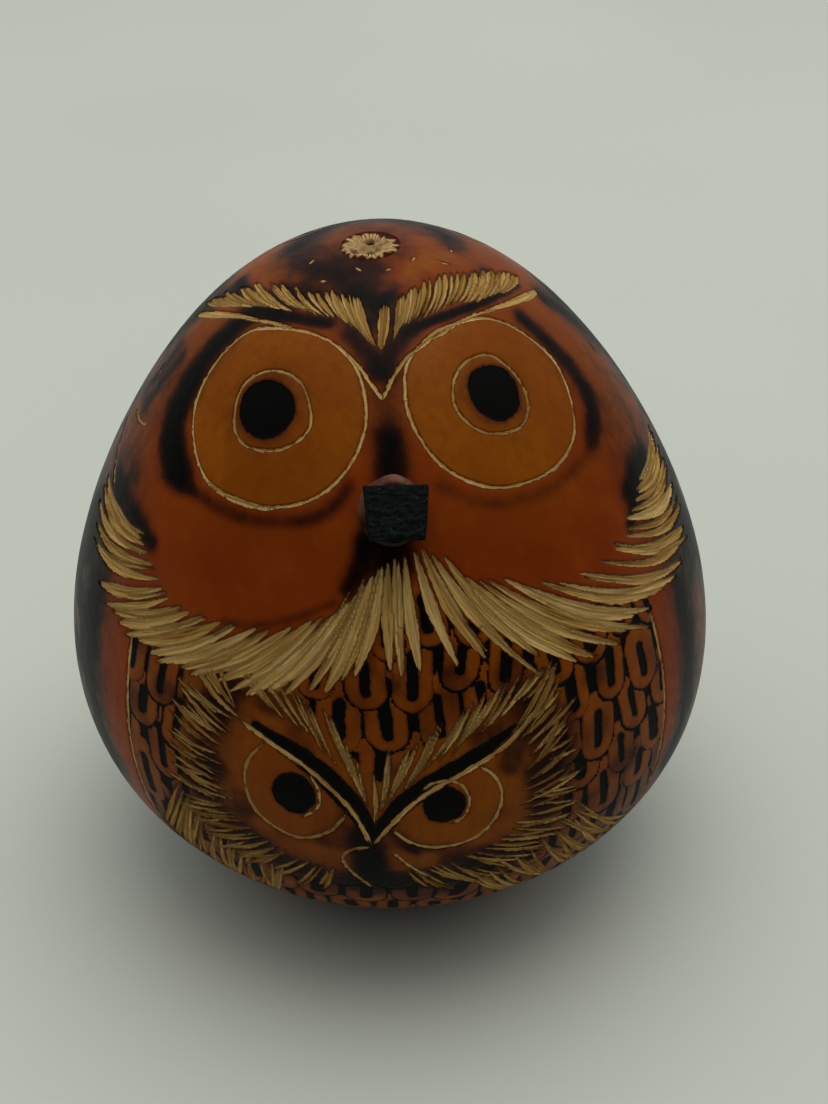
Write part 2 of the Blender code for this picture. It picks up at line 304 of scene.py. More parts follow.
def scratch(guides, width, depth=0.16, loop=False, wobble=0.12, count=40, ends=0.06):
    """A thin line cut with the tool's corner."""
    line = curve(guides, count, loop)
    where, distance, along, side, length = near_line(closed(line) if loop else line, width + 0.6)
    ripple = RANDOM.uniform(0, 6, 3)
    uneven = 1 + wobble * np.sin(along * 31 + ripple[0]) + wobble * np.sin(along * 77 + ripple[1])
    half = 0.5 * width * uneven
    if not loop:
        half = half * np.clip(np.minimum(along, 1 - along) / ends, 0.15, 1)
    record_stroke(where, half - distance, side, along * length)
    carve_away(where, depth * np.clip(1 - (distance / (half + 0.05)) ** 2, 0, 1))


def soft_line(guides, radius, count=14):
    """1 on a line, or at a single place, and fading to 0 away from it."""
    line = curve(guides, count) if len(guides) > 1 else np.array([guides[0], guides[0]], float)
    where, distance = near_line(line, radius * 2.4)[:2]
    return where, np.exp(-((distance / radius) ** 2))


def smoke_and_shade(guides, radius, strength=1.0, count=14):
    """A soft scorch along a line, and in one place painted shadow."""
    where, soft = soft_line(guides, radius, count)
    SCORCH_AND_SHADE[where] = 1 - (1 - SCORCH_AND_SHADE[where]) * (1 - strength * soft)


def glow(guides, radius, strength):
    """A soft amber tint along a line."""
    where, soft = soft_line(guides, radius)
    dye(where, strength * soft)


def char(guides, widths, count=24):
    """A crisp black band whose half width follows a few values along it."""
    where, distance, along = near_line(curve(guides, count), max(widths) + 1.0)[:3]
    ink(where, np.interp(along, np.linspace(0, 1, len(widths)), widths) - distance)


def char_oval(azimuth, drop, half_width, half_height, tilt=0.0):
    """A crisp black oval."""
    where = block([(azimuth, drop)], max(half_width, half_height) + 1.5)
    x, y = local_plane(azimuth, drop, where)
    turn = math.radians(tilt)
    u = x * math.cos(turn) + y * math.sin(turn)
    v = -x * math.sin(turn) + y * math.cos(turn)
    ink(where, (1 - np.hypot(u / half_width, v / half_height)) * min(half_width, half_height))


def local_plane(azimuth, drop, where):
    """Flat coordinates in mm about a place on the gourd: across, and down."""
    across = np.radians(wrapped(AZIMUTH[where] - azimuth)) * girth_at(DROP[where])
    return across, DROP[where] - drop


def fan(roots, tips, count, width, depth, bend=0.0, jitter=0.5, tone=0.0, belly=0.55):
    """A row of gouged strokes whose roots and tips follow two guide curves."""
    root_line, tip_line = curve(roots, count), curve(tips, count)
    for i in RANDOM.permutation(count):
        root = root_line[i] + RANDOM.normal(0, jitter, 2) * (0.6, 0.5)
        tip = tip_line[i] + RANDOM.normal(0, jitter, 2) * (1.2, 0.9)
        across = np.array([tip[1] - root[1], root[0] - tip[0]])
        middle = (root + tip) / 2 + across * bend
        size = width * RANDOM.uniform(0.7, 1.25)
        wide_at = belly + RANDOM.uniform(-0.1, 0.1)
        gouge([root, middle, tip], size, depth * RANDOM.uniform(0.8, 1.15), belly=wide_at, tone=tone)


# ---- the mother's face

LEFT_RING = [(-60, 26), (-57.5, 21.5), (-50, 19.2), (-33, 17.7), (-18, 18.5), (-8, 21.5), (-4.5, 27),
             (-8, 32.5), (-15, 36.5), (-24, 38.6), (-33, 39), (-43, 38.4), (-52, 35), (-58, 31)]
RIGHT_RING = [(7, 25), (9.5, 20.3), (22, 17.2), (38, 16.7), (50, 17.7), (58, 20.5), (62.3, 25.5),
              (60, 29.5), (53, 34.3), (44, 36.5), (34, 37), (24, 36.2), (15, 33.3), (9.5, 29.4)]
LEFT_INNER_RING = [(-44.6, 27), (-41, 24.3), (-33, 23.2), (-25, 24.2), (-20, 27.5), (-21, 30), (-27, 32.2),
                   (-36, 32.8), (-41.5, 31)]
RIGHT_INNER_RING = [(21, 26), (24, 23), (31, 21.4), (40, 21.8), (44.5, 25), (43.5, 28.5), (38, 30.7),
                    (30, 30.6), (24, 29)]


def mother_eyes():
    for ring, inner in ((LEFT_RING, LEFT_INNER_RING), (RIGHT_RING, RIGHT_INNER_RING)):
        depth, where = loop_depth(ring, 2.0)
        dye(where, smoothstep(-0.2, 0.5, depth) * 0.95)
        scratch(ring, 0.36, loop=True, count=96)
        scratch(inner, 0.33, loop=True, count=64)
    scratch([(-43, 38.5), (-33, 39.3), (-24, 38.8)], 0.5)
    char_oval(-33.8, 28.0, 3.85, 3.5, 4)
    char_oval(34.6, 26.0, 3.3, 3.5, -4)
    smoke_and_shade([(-33.8, 28.0)], 4.3, 0.9)
    smoke_and_shade([(34.6, 26.0)], 3.8, 0.9)


def mother_lids():
    gouge([(-93, 26.2), (-81, 22.9), (-69, 20.4), (-57, 18.8)], 1.05, 0.2, root=0.5, belly=0.35)
    scratch([(-66, 20), (-50, 18.3), (-37, 17.8)], 0.4, ends=0.1)
    scratch([(-14, 19.2), (-8, 20.8), (-3.5, 22.9), (0.2, 24.8)], 0.4)
    scratch([(0.2, 24.8), (3, 22.6), (7, 20.6), (11, 19.4), (22, 17.5)], 0.42)
    scratch([(19, 18), (36, 16.6), (48, 16.6), (60, 17.4)], 0.4, ends=0.1)
    gouge([(90, 20.6), (75, 18.6), (60, 17.2), (50, 16.6)], 1.15, 0.2, root=0.6, belly=0.25)


def mother_brows():
    """Slanting strokes, blunt above and pointed below, that meet in a V over the beak."""
    tone = -0.26
    fan([(-2, 18.4), (-5.3, 17.4), (-11, 16), (-21, 15.2), (-32, 15.2), (-45, 15.2)],
        [(-12.5, 11.5), (-20.5, 11.6), (-27, 11.3), (-38.5, 12), (-58, 13.4), (-72, 14.6)],
        19, 0.6, 0.26, 0.0, 0.25, tone, 0.72)
    fan([(-45, 15.9), (-55, 16.6), (-64, 17.6), (-73, 19.2), (-79, 20.6)],
        [(-80, 16.2), (-84, 17.8), (-88, 20.4), (-94, 22.6), (-99, 25)], 12, 0.85, 0.26, 0.0, 0.4, tone, 0.6)
    fan([(-0.9, 18.4), (-0.1, 18.9), (0.6, 18.2)], [(0.4, 12.8), (2.4, 12.4), (4.6, 12.8)],
        4, 0.75, 0.3, 0.0, 0.2, tone, 0.6)
    fan([(4.8, 17.4), (7.8, 16.2), (13, 15.1), (19, 15.1), (30, 14.3), (41, 14.2), (52, 14.8)],
        [(10.9, 11.9), (17, 11), (25, 10.4), (40, 10), (55, 10.2), (69, 11.7), (81, 13.4)],
        20, 0.66, 0.26, 0.0, 0.25, tone, 0.72)
    fan([(48, 14.9), (59, 15.3), (66, 15.8), (71, 16.6)], [(79, 13), (86, 14.6), (92, 16.4), (94, 18.2)],
        8, 1.0, 0.26, 0.0, 0.25, tone, 0.75)


def mother_smoke_and_shade():
    smoke_and_shade([(-92, 19), (-75, 18), (-60, 17.2), (-48, 16.9)], 1.5, 1.0)
    smoke_and_shade([(-62, 17.2), (-40, 16.4), (-24, 16)], 0.9, 0.8)
    smoke_and_shade([(-12, 17), (-5, 19), (0, 21), (5, 18.5), (12, 16.5)], 1.6, 0.75)
    smoke_and_shade([(-14, 11.2), (-7, 11.8), (-1, 13)], 1.3, 1.0)
    smoke_and_shade([(6, 11.4), (-1, 12.5)], 1.0, 0.7)
    smoke_and_shade([(-60, 14.4), (-40, 13.4), (-20, 13.4), (-6, 15.4)], 1.5, 0.7)
    smoke_and_shade([(80, 13.6), (50, 12.4), (25, 12.4), (6, 15)], 1.5, 0.6)
    smoke_and_shade([(16, 15.9), (35, 15.3), (60, 15.8), (85, 17.6)], 0.75, 1.0)
    smoke_and_shade([(0.4, 20), (1, 28), (1.8, 35)], 2.5, 0.5)
    smoke_and_shade([(1.6, 29.5), (2.4, 35)], 1.8, 0.85)
    smoke_and_shade([(-62.5, 19), (-65, 23), (-65, 29), (-62, 35), (-53, 39)], 2.3, 1.0)
    smoke_and_shade([(-64, 30), (-60, 37), (-50, 40)], 1.8, 0.85)
    smoke_and_shade([(-48, 40.2), (-32, 40.8), (-15, 39), (-8, 35)], 1.2, 0.6)
    smoke_and_shade([(65, 20), (67, 27), (65, 33), (58, 36)], 1.7, 0.85)
    smoke_and_shade([(55, 37), (40, 38.6), (24, 38.2), (13, 35)], 1.2, 0.4)
    # A black patch just under the beak: painted shadow of the beak, laid over scorch.
    smoke_and_shade([(1, 41), (1.5, 43.5)], 3.0, 1.0)
    smoke_and_shade([(-4, 41), (-5, 44), (-7, 46.5)], 1.5, 0.85)
    smoke_and_shade([(-74, 47.4), (-62, 47.6), (-52, 49)], 1.6, 0.8)
    smoke_and_shade([(-30, 53.2), (-22, 52.2), (-10, 48.5)], 0.8, 0.45)
    smoke_and_shade([(60, 44.5), (66, 43.6), (74, 43.5)], 1.7, 0.95)
    smoke_and_shade([(56, 48), (62, 46), (72, 44.6)], 0.9, 0.9)


def mother_glow():
    glow([(72, 22), (76, 30), (74, 38)], 7.0, 0.65)
    glow([(-74, 26), (-78, 34), (-74, 42)], 6.0, 0.45)
    glow([(-50, 42), (-30, 42), (-12, 40)], 3.5, 0.2)
    glow([(60, 39), (40, 40), (18, 39)], 3.5, 0.25)
    glow([(-14, 20.5), (0, 27), (14, 19)], 4.0, 0.4)


def mother_ruff():
    left_roots = [(-0.5, 43.6), (-4, 45.8), (-9, 49), (-16, 51.6), (-26, 53.4), (-36, 54), (-44, 53.5),
                  (-50, 51.6), (-56, 49.3)]
    left_tips = [(-6, 56.8), (-13.5, 59.6), (-23, 60.6), (-33, 61.2), (-44, 61.8), (-54, 61), (-62, 59.8),
                 (-77, 54.6), (-81, 49.8)]
    right_roots = [(3, 43), (8, 42.2), (15, 45.4), (22.5, 47.4), (35, 49.5), (52, 49.1), (61, 46.3), (67, 45)]
    right_tips = [(2.5, 56.2), (18.5, 55.2), (36, 59.4), (49.5, 58.8), (66, 58.2), (79.5, 55.5), (85.5, 49),
                  (88.5, 44.9)]
    fan(left_roots, left_tips, 24, 1.75, 0.36, 0.03, 0.5)
    fan(right_roots, right_tips, 24, 1.75, 0.36, -0.03, 0.5)
    fan(left_roots[1:], left_tips[1:], 12, 0.9, 0.42, 0.03, 0.9, -0.15)
    fan(right_roots[1:], right_tips[1:], 12, 0.9, 0.42, -0.03, 0.9, -0.15)
    gouge([(0.5, 43.5), (0.2, 50), (0.5, 56)], 1.5, 0.34)
    gouge([(1.8, 43), (2.0, 50), (2.6, 56.3)], 1.3, 0.34)
    scratch([(-89, 43), (-82, 46), (-74, 48.4)], 0.35)
    scratch([(-84, 40.2), (-78, 39.8), (-73, 38.8)], 0.4)


# ---- the breast and its scales

PANEL = [(-51, 59), (-49.5, 72), (-47.5, 84), (-46, 100), (-40, 112), (0, 116), (40, 112), (48, 100),
         (52, 84), (53.5, 70), (54, 57), (42, 53.5), (24, 51), (9, 47), (2, 45), (-4, 48), (-14, 54),
         (-28, 57), (-42, 58)]
OWLET_FACE = [(-34, 61), (-35.5, 70), (-34, 78), (-26, 83.5), (-12, 86), (-2, 87.5), (12, 86), (24, 83),
              (29, 76), (28.5, 67), (27, 60), (14, 63), (2, 67), (-1.5, 70), (-8, 65), (-18, 59)]
ROW_HEIGHTS = (50.4, 56.4, 62.4, 68.0, 73.4, 79.0, 84.8, 90.6, 96.4, 102.2, 108.0)
SCALE_PITCH = 8.2


def scale_mark(azimuth, drop, half_width, half_length, tilt):
    """One feather: a long rounded ring with a black slot, and black in the gaps around it."""
    where = block([(azimuth, drop - half_length), (azimuth, drop + half_length)], half_width + 1.2)
    x, y = local_plane(azimuth, drop, where)
    x = x - y * math.tan(math.radians(tilt))
    stem = half_length - half_width
    outer = np.hypot(x, np.maximum(np.maximum(y - stem, 0), -(y + stem * 1.8))) - half_width
    slot_width = half_width * RANDOM.uniform(0.24, 0.4)
    slot_half = half_length - RANDOM.uniform(0.9, 1.5)
    slot = np.hypot(x, np.maximum(np.abs(y + 0.15) - slot_half + slot_width, 0)) - slot_width
    value = np.maximum(outer, -slot)
    covers = outer < RANDOM.uniform(0.12, 0.45)
    INK[where] = np.where(covers, value, INK[where])
    return outer, where


def breast_scales():
    panel, where = loop_depth(PANEL, 1.0, 120)
    before = INK.copy()
    INK[where] = np.where(panel > 0, 0.5, INK[where])
    for row, drop in reversed(list(enumerate(ROW_HEIGHTS))):
        shift = SCALE_PITCH * (0.5 * (row % 2)) + RANDOM.uniform(-1, 1)
        for azimuth in np.arange(-57, 62, SCALE_PITCH):
            place = azimuth + shift + RANDOM.normal(0, 0.5)
            size = girth_at(drop) / 42.0
            scale_mark(place, drop + RANDOM.normal(0, 0.6), 2.62 * size * RANDOM.uniform(0.85, 1.08),
                       4.1 * RANDOM.uniform(0.82, 1.08), RANDOM.normal(0, 5))
    edge = np.full(SHAPE, UNMARKED)
    edge[where] = panel
    INK[:] = np.where(edge > 0, np.minimum(INK, edge), before)
    scratch([(-50.8, 60), (-49.6, 70), (-47.6, 84), (-45.5, 98)], 0.42)
    scratch([(53.8, 58), (53.8, 70), (52, 84), (48, 99)], 0.4)
    within = smoothstep(0, 0.6, panel)
    dye(where, within * 0.75)
    cloudy = smoothstep(0.35, 0.75, value_noise(POINTS[where], 3.5, 63))
    darkening = (0.16 + 0.34 * cloudy) * smoothstep(100, 90, DROP[where])
    SCORCH_AND_SHADE[where] = np.maximum(SCORCH_AND_SHADE[where], within * darkening)


# ---- the owlet


def owlet():
    face, where = loop_depth(OWLET_FACE, 1.5, 120)
    INK[where] = np.where(face > 0, np.minimum(INK[where], -0.5), INK[where])
    dye(where, smoothstep(-0.2, 0.4, face) * 0.85)
    owlet_smoke()
    scratch([(-20, 66.2), (-23.3, 70), (-23.4, 74), (-21, 77.6), (-15, 79.8), (-9.5, 77.8), (-6.6, 74.4)],
            0.42)
    scratch([(14, 68.5), (17.2, 71), (18, 74.5), (16, 78), (12, 80.1), (6.5, 80.3), (3, 79.1), (0, 76.8)],
            0.42)
    scratch([(-12.6, 69.9), (-11.2, 72), (-11.5, 74.5), (-14, 76.2)], 0.34)
    scratch([(5, 71.4), (7.5, 70.3), (11, 70.8), (12.6, 73), (12, 75.6), (9.6, 76.7)], 0.34)
    scratch([(-25, 64.5), (-19, 66.6), (-13, 69), (-8.5, 72), (-5.5, 75), (-3, 79.7)], 0.55)
    scratch([(25.5, 62.8), (19.5, 66.6), (12, 69.4), (6, 71.8), (1.5, 75), (-2.8, 79.8)], 0.6)
    scratch([(-3, 80.1), (-6.2, 80.8), (-7.7, 82.5), (-6.8, 84.8), (-3.2, 89)], 0.4)
    scratch([(0.6, 81.2), (3, 83.6), (6.2, 86.4)], 0.35)
    char_oval(-15.3, 72.8, 2.75, 2.95)
    char_oval(8.6, 73.6, 2.6, 2.7)
    char([(-22, 64.6), (-14, 67.6), (-9, 70.6), (-5, 74.5), (-3.2, 78)], (0.5, 1.2, 1.5, 1.4, 1.0))
    char([(21, 64.6), (13, 67.8), (6, 70.8), (1.5, 73.6), (-1.6, 77.4)], (0.4, 1.0, 1.3, 1.3, 1.0))
    fan([(-3, 73.6), (-5.4, 70.6), (-9, 67), (-14, 64), (-20, 61.6)],
        [(-5.5, 66.8), (-9.4, 62.4), (-14, 60.4), (-20, 58.6), (-27, 57.2)], 17, 0.5, 0.22, 0.02, 0.5, -0.3)
    fan([(-1.2, 74), (1.4, 71.4), (5, 69), (10, 66.6), (15, 64.4), (20, 62)],
        [(0.6, 66.6), (5.4, 64.6), (10.5, 62.4), (16, 60.4), (21.5, 59), (28, 58)],
        22, 0.55, 0.22, -0.02, 0.5, -0.22)
    gouge([(-2.4, 76.5), (-2.2, 73), (-2.4, 69)], 0.6, 0.22)


def owlet_smoke():
    smoke_and_shade([(-4, 77), (-3.5, 83)], 2.0, 0.9)
    smoke_and_shade([(-3.4, 81), (-3.2, 85.5)], 2.0, 0.95)
    smoke_and_shade([(-8, 74), (-12, 78.5)], 0.9, 0.5)
    smoke_and_shade([(1, 78), (4, 81)], 0.9, 0.5)
    smoke_and_shade([(-15.3, 72.8)], 3.0, 0.35)
    smoke_and_shade([(8.6, 73.6)], 2.9, 0.35)
    smoke_and_shade([(-25, 82), (-12, 87), (4, 87), (19, 83)], 2.4, 0.5)


def clear_irises():
    """Keeps the smoke off the owlet's eyes."""
    for ring in ([(-20, 66.3), (-23.4, 71), (-22.5, 76.5), (-15, 79.4), (-8.5, 76.4), (-9, 71)],
                 [(14, 68.5), (17.8, 73), (16, 78), (10, 80), (3, 78.4), (5, 72)]):
        depth, where = loop_depth(ring, 1.5)
        SCORCH_AND_SHADE[where] *= 1 - 0.7 * smoothstep(-0.6, 0.9, depth)


def owlet_feathers():
    """Short strokes round the face, and the long ones below it."""
    smoke_and_shade([(-27, 61), (-31, 68), (-31, 76), (-26, 83), (-14, 87), (0, 88), (14, 87), (23, 83), (27, 76),
           (26, 68), (25, 62)], 3.0, 0.62, 40)
    for roots, tips, count, width, depth, bend, jitter, tone in (
        ([(-25.5, 63), (-28, 68), (-28, 74), (-25, 79.4), (-18, 82.6), (-9, 84.6)],
         [(-33, 58.5), (-37, 65), (-38, 73), (-35, 81.5), (-27, 88), (-13, 91)],
         38, 0.6, 0.2, 0.03, 0.9, -0.42),
        ([(-27, 62), (-30, 67), (-30.5, 74), (-27, 81), (-19, 84.4)],
         [(-33, 58), (-37.5, 65), (-38, 74), (-36, 83.5), (-27, 89)],
         22, 0.5, 0.2, 0.03, 0.9, -0.25),
        ([(21, 65), (22.4, 70.6), (22, 76), (17.6, 81), (9.6, 83.8), (3, 85)],
         [(29, 59), (31, 67), (31, 76), (28, 83.6), (18, 89.4), (7, 91)],
         36, 0.6, 0.2, -0.03, 0.9, -0.42),
        ([(23, 63), (25, 69), (25, 76), (21, 82), (13, 85.4)],
         [(30, 58.4), (32, 67), (32.4, 77), (29, 84.6), (20, 91)],
         20, 0.5, 0.2, -0.03, 0.9, -0.25),
        ([(-36, 77), (-33, 81.4), (-27, 85), (-19, 87.6)], [(-46, 91), (-41, 97), (-33, 100), (-25, 101)],
         24, 0.8, 0.22, 0.03, 1.1, -0.3),
        ([(32, 79), (28, 83), (21, 86), (14, 88)], [(49, 92), (42, 97), (34, 100), (26, 101)],
         24, 0.8, 0.22, -0.03, 1.1, -0.3),
    ):
        fan(roots, tips, count, width, depth, bend, jitter, tone)


# ---- crown, sides and back


def scorch_evenly():
    """The smoke that darkens the sides, the back and the underside, thicker in some places than in others."""
    across = np.abs(wrapped(AZIMUTH))
    cloudy = 0.42 + 1.0 * value_noise(POINTS * (1, 1, 0.5), 7.0, 61) * value_noise(POINTS, 2.6, 62) ** 0.5
    sides = smoothstep(50, 66, across) * (1 - 0.45 * smoothstep(98, 125, across)) * smoothstep(16, 30, DROP)
    sides = sides * (0.4 + 0.6 * np.maximum(smoothstep(38, 50, DROP), smoothstep(84, 100, across)))
    low = smoothstep(84, 108, DROP) * smoothstep(35, 60, across)
    crown = smoothstep(20, 9, DROP) * (0.62 - 0.45 * smoothstep(-10, 35, wrapped(AZIMUTH)) * (across < 110))
    share = np.clip(np.maximum(np.maximum(0.88 * sides, 0.25 * low), crown) * cloudy, 0, 0.95)
    share = np.maximum(share, 0.45 * smoothstep(8.0, 3.8, ROWS)[:, None])
    SCORCH_AND_SHADE[:] = 1 - (1 - SCORCH_AND_SHADE) * (1 - share)


SIDE_SCORCHES = (
    ([(80, 56), (88, 66), (90, 78)], 4.5, 1.0),
    ([(66, 60), (64, 70), (60, 82)], 2.6, 0.95),
    ([(98, 45), (104, 56), (108, 70)], 4.5, 0.95),
    ([(90, 22), (98, 30), (101, 38)], 2.0, 0.8),
    ([(104, 24), (110, 38)], 3.0, 0.7),
    ([(58, 84), (62, 96), (58, 108)], 4.0, 0.85),
)


def crown_and_sides():
    scorch_evenly()
    patch = [(16, 9.4), (24, 7), (45, 5.6), (70, 6.6), (92, 9.6), (78, 9.6), (56, 8.6), (34, 8.8)]
    depth, where = loop_depth(patch, 2.0)
    dye(where, smoothstep(-0.9, 0.9, depth))
    for azimuth, drop, swing in ((4, 7.2, 9), (37, 6.2, 10), (-17, 7.4, -9), (-44, 10.8, 5), (84, 9, 6)):
        nick(azimuth, drop, swing, -0.5, 0.1)
    smoke_and_shade([(-90, 8), (-60, 6.6), (-30, 6.2), (0, 6.8)], 1.4, 0.3)
    smoke_and_shade([(-30, 9.2), (-50, 9.5), (-80, 10.5)], 1.6, 0.45)
    smoke_and_shade([(100, 9), (140, 9), (180, 9), (220, 10), (260, 11)], 2.6, 0.8)
    for azimuth in (-78, -84):
        smoke_and_shade([(azimuth, 30), (azimuth - 2, 38)], 1.4, 0.6)
    for side in (-1, 1):
        for guides, radius, strength in SIDE_SCORCHES:
            smoke_and_shade([(side * azimuth, drop) for azimuth, drop in guides], radius, strength)
        wing(side)


def nick(azimuth, drop, swing, fall, depth):
    scratch([(azimuth, drop), (azimuth + swing, drop + fall)], 0.35, depth, ends=0.4, count=8)


BARB = ((0.8, 0), (2.2, 1), (3.4, 2.6))  # a barb's places, out from its quill and down


def wing(side):
    """Three tiers of long flight feathers down each side, each a pale quill on a scorched band."""
    for tier, (top, low) in enumerate(((47, 64), (60, 82), (76, 102))):
        for k in range(6):
            azimuth = side * (97 + 9 * k + 4.5 * (tier % 2))
            start, end = top + RANDOM.uniform(-1, 1), low + RANDOM.uniform(-1.5, 1.5)
            guides = [(azimuth, start), (azimuth - side * 0.6, (start + end) / 2), (azimuth - side * 3, end)]
            smoke_and_shade(guides, 1.9, 0.9)
            gouge(guides, 1.1, 0.26, root=0.3, belly=0.35, tone=-0.2)
            for barb in range(4):
                drop = end - 1.5 - 2.6 * barb
                place = azimuth - side * 2.4 * (drop - start) / (end - start)
                gouge([(place - side * out, drop + down) for out, down in BARB], 0.8, 0.2, tone=-0.3)


def back_feathers():
    """The breast's scales again, wide over the back of the head and narrow between the wings."""
    for row, drop in reversed(list(enumerate(np.arange(15, 110, 6.0)))):
        half = 60.0 if drop < 26 else 74.0 if drop < 44 else 31.0
        pitch = math.degrees(5.9 / girth_at(drop))
        count = int(half / pitch)
        for place in np.arange(-count, count + 1) + 0.5 * (row % 2):
            azimuth = 180 + place * pitch + RANDOM.normal(0, 0.6)
            _, where = scale_mark(azimuth, drop + RANDOM.normal(0, 0.5), 2.6 * RANDOM.uniform(0.88, 1.06),
                                  3.9 * RANDOM.uniform(0.85, 1.06), RANDOM.normal(0, 4))
            dye(where, 0.5)


def small_ticks():
    """Short pale nicks scattered over the crown and sides."""
    for azimuth, drop, lean, length in (
        (-86, 33, 3, 2.2), (-92, 40, 2, 1.8), (-70, 8.5, 8, 1.2), (60, 8, 10, 1.4),
        (88, 30, -2, 1.6), (-98, 50, 2, 1.8), (94, 60, -2, 1.8), (-88, 70, 2, 2.0),
    ):
        nick(azimuth, drop, lean * 0.5, length, 0.12)


def carve():
    mother_glow()
    mother_smoke_and_shade()
    mother_eyes()
    breast_scales()
    owlet()
    owlet_feathers()
    clear_irises()
    mother_ruff()
    mother_lids()
    mother_brows()
    crown_and_sides()
    back_feathers()
    small_ticks()


# ---- the skin mesh


def skin_positions():
    """The carved outside, never proud of the gourd's outline."""
    lumps = 0.10 * value_noise(POINTS, 13.0, 3) + 0.05 * value_noise(POINTS, 5.0, 4)
    grain = 0.02 * value_noise(POINTS * (1, 1, 0.35), 0.5, 5)
    charred = 0.07 * smoothstep(-0.1, 0.25, INK)
    rough = value_noise(POINTS, 0.35, 6) * 0.05 * smoothstep(-0.1, 0.2, CUT)
    sunk = SKIN_INSET + lumps + grain + np.maximum(charred, DEPTH + rough)
    carved = POINTS - NORMALS * sunk[..., None]
    carved[..., 2] = np.minimum(carved[..., 2], TOP_LIMIT)
    return carved


def grid_faces(first, rows, columns):
    index = first + np.arange(rows * columns).reshape(rows, columns)
    right = np.roll(index, -1, axis=1)
    return np.stack([index[:-1], index[1:], right[1:], right[:-1]], -1).reshape(-1, 4)


def make_skin():
    """The carved outside, the inside a wall's thickness under it, and the faces that join them."""
    rows, columns = SHAPE
    outside = skin_positions()
    azimuth, drop = from_scar(COLUMNS[None, :], np.linspace(SCAR_RADIUS, LAST_DROP, INNER_ROWS)[:, None])
    within = surface(azimuth, drop, WALL)
    within[0, :, :2] = surface(*from_scar(COLUMNS, np.full(columns, SCAR_RADIUS)))[:, :2]
    centres = [[0, 0, 0], [0, 0, within[-1, :, 2].mean()]]
    vertices = np.concatenate([outside.reshape(-1, 3), within.reshape(-1, 3), centres])
    first = rows * columns
    vertices[first - columns:first, 2] = 0.0
    rim = np.arange(columns)
    next_rim = np.roll(rim, -1)
    neck = np.stack([rim, next_rim, next_rim + first, rim + first], -1)
    low = rim + first - columns
    foot = np.stack([low, np.full(columns, len(vertices) - 2), np.roll(low, -1)], -1)
    deep = rim + first + (INNER_ROWS - 1) * columns
    floor = np.stack([deep, np.roll(deep, -1), np.full(columns, len(vertices) - 1)], -1)
    inner = grid_faces(first, INNER_ROWS, columns)[:, ::-1]
    mesh = mesh_from("carved_gourd", vertices, [grid_faces(0, rows, columns), neck, inner, foot, floor])
    add_values(mesh, len(vertices) - first)
    add_bake_map(mesh, rows, columns)
    mesh.shade_smooth()
    return mesh


def mesh_from(name, vertices, groups):
    """A mesh from millimetre vertices and several arrays of quads or triangles."""
    mesh = bpy.data.meshes.new(name)
    counts = np.concatenate([np.full(len(g), g.shape[1]) for g in groups])
    loops = np.concatenate([g.ravel() for g in groups])
    mesh.vertices.add(len(vertices))
    mesh.vertices.foreach_set("co", (np.asarray(vertices) * MM).astype(np.float32).ravel())
    mesh.loops.add(len(loops))
    mesh.loops.foreach_set("vertex_index", loops.astype(np.int32))
    mesh.polygons.add(len(counts))
    mesh.polygons.foreach_set("loop_start", np.concatenate([[0], np.cumsum(counts)[:-1]]).astype(np.int32))
    mesh.update(calc_edges=True)
    mesh.validate()
    return mesh


def add_values(mesh, inside_count):
    """The carver's marks as values that the material reads."""
    for name, values, within in (("cut", CUT, UNMARKED), ("ink", INK, UNMARKED), ("scorch_shade", SCORCH_AND_SHADE, 0.0),
                                 ("gold", GOLD, 0.0), ("shade", SHADE, 0.5), ("bare", np.zeros(SHAPE), 1.0)):
        set_value(mesh, name, np.concatenate([values.ravel(), np.full(inside_count, within)]))
    flow = np.zeros((SIDE.size + inside_count, 3), np.float32)
    flow[:SIDE.size, 0] = SIDE.ravel()
    flow[:SIDE.size, 1] = ALONG.ravel()
    mesh.attributes.new("flow", "FLOAT_VECTOR", "POINT").data.foreach_set("vector", flow.ravel())


def read_numbers(items, name):
    values = np.zeros(len(items), np.int32)
    items.foreach_get(name, values)
    return values


# The bake map: where the carved outside starts and how much it takes, and the same for the inside's strip.
MAP_LEFT, MAP_WIDTH = 0.004, 0.992
MAP_TOP, MAP_HEIGHT = 0.996, 0.95
STRIP_TOP, STRIP_HEIGHT = 0.035, 0.03
NECK_AT, FOOT_AT, FLOOR_AT = 0.037, 0.041, 0.003


def add_bake_map(mesh, rows, columns):
    """A map that gives the carved front most of the room: columns across, rows up, the inside in a strip."""
    vertex = read_numbers(mesh.loops, "vertex_index")
    starts = read_numbers(mesh.polygons, "loop_start")
    face = np.repeat(np.arange(len(starts)), read_numbers(mesh.polygons, "loop_total"))
    outer = rows * columns
    on_outside = vertex < outer
    column = np.where(on_outside, vertex % columns, (vertex - outer) % columns).astype(float)
    least = np.minimum.reduceat(column, starts)[face]
    most = np.maximum.reduceat(column, starts)[face]
    over_the_seam = (most - least > columns / 2) & (column < columns / 2)
    column = np.where(over_the_seam, column + columns, column)
    row = np.where(on_outside, vertex // columns, 0)
    deep = np.clip((vertex - outer) // columns, 0, INNER_ROWS)
    inner_face = np.maximum.reduceat(vertex, starts)[face] >= outer
    up = np.where(inner_face, STRIP_TOP - STRIP_HEIGHT * deep / INNER_ROWS,
                  MAP_TOP - MAP_HEIGHT * row / (rows - 1))
    up = np.where(inner_face & on_outside, NECK_AT, up)
    up = np.where(vertex == len(mesh.vertices) - 2, FOOT_AT, up)
    up = np.where(vertex == len(mesh.vertices) - 1, FLOOR_AT, up)
    across = MAP_LEFT + MAP_WIDTH * column / (columns + 1)
    layer = mesh.uv_layers.new(name="OFBake")
    layer.data.foreach_set("uv", np.stack([across, up], -1).astype(np.float32).ravel())


# ---- materials


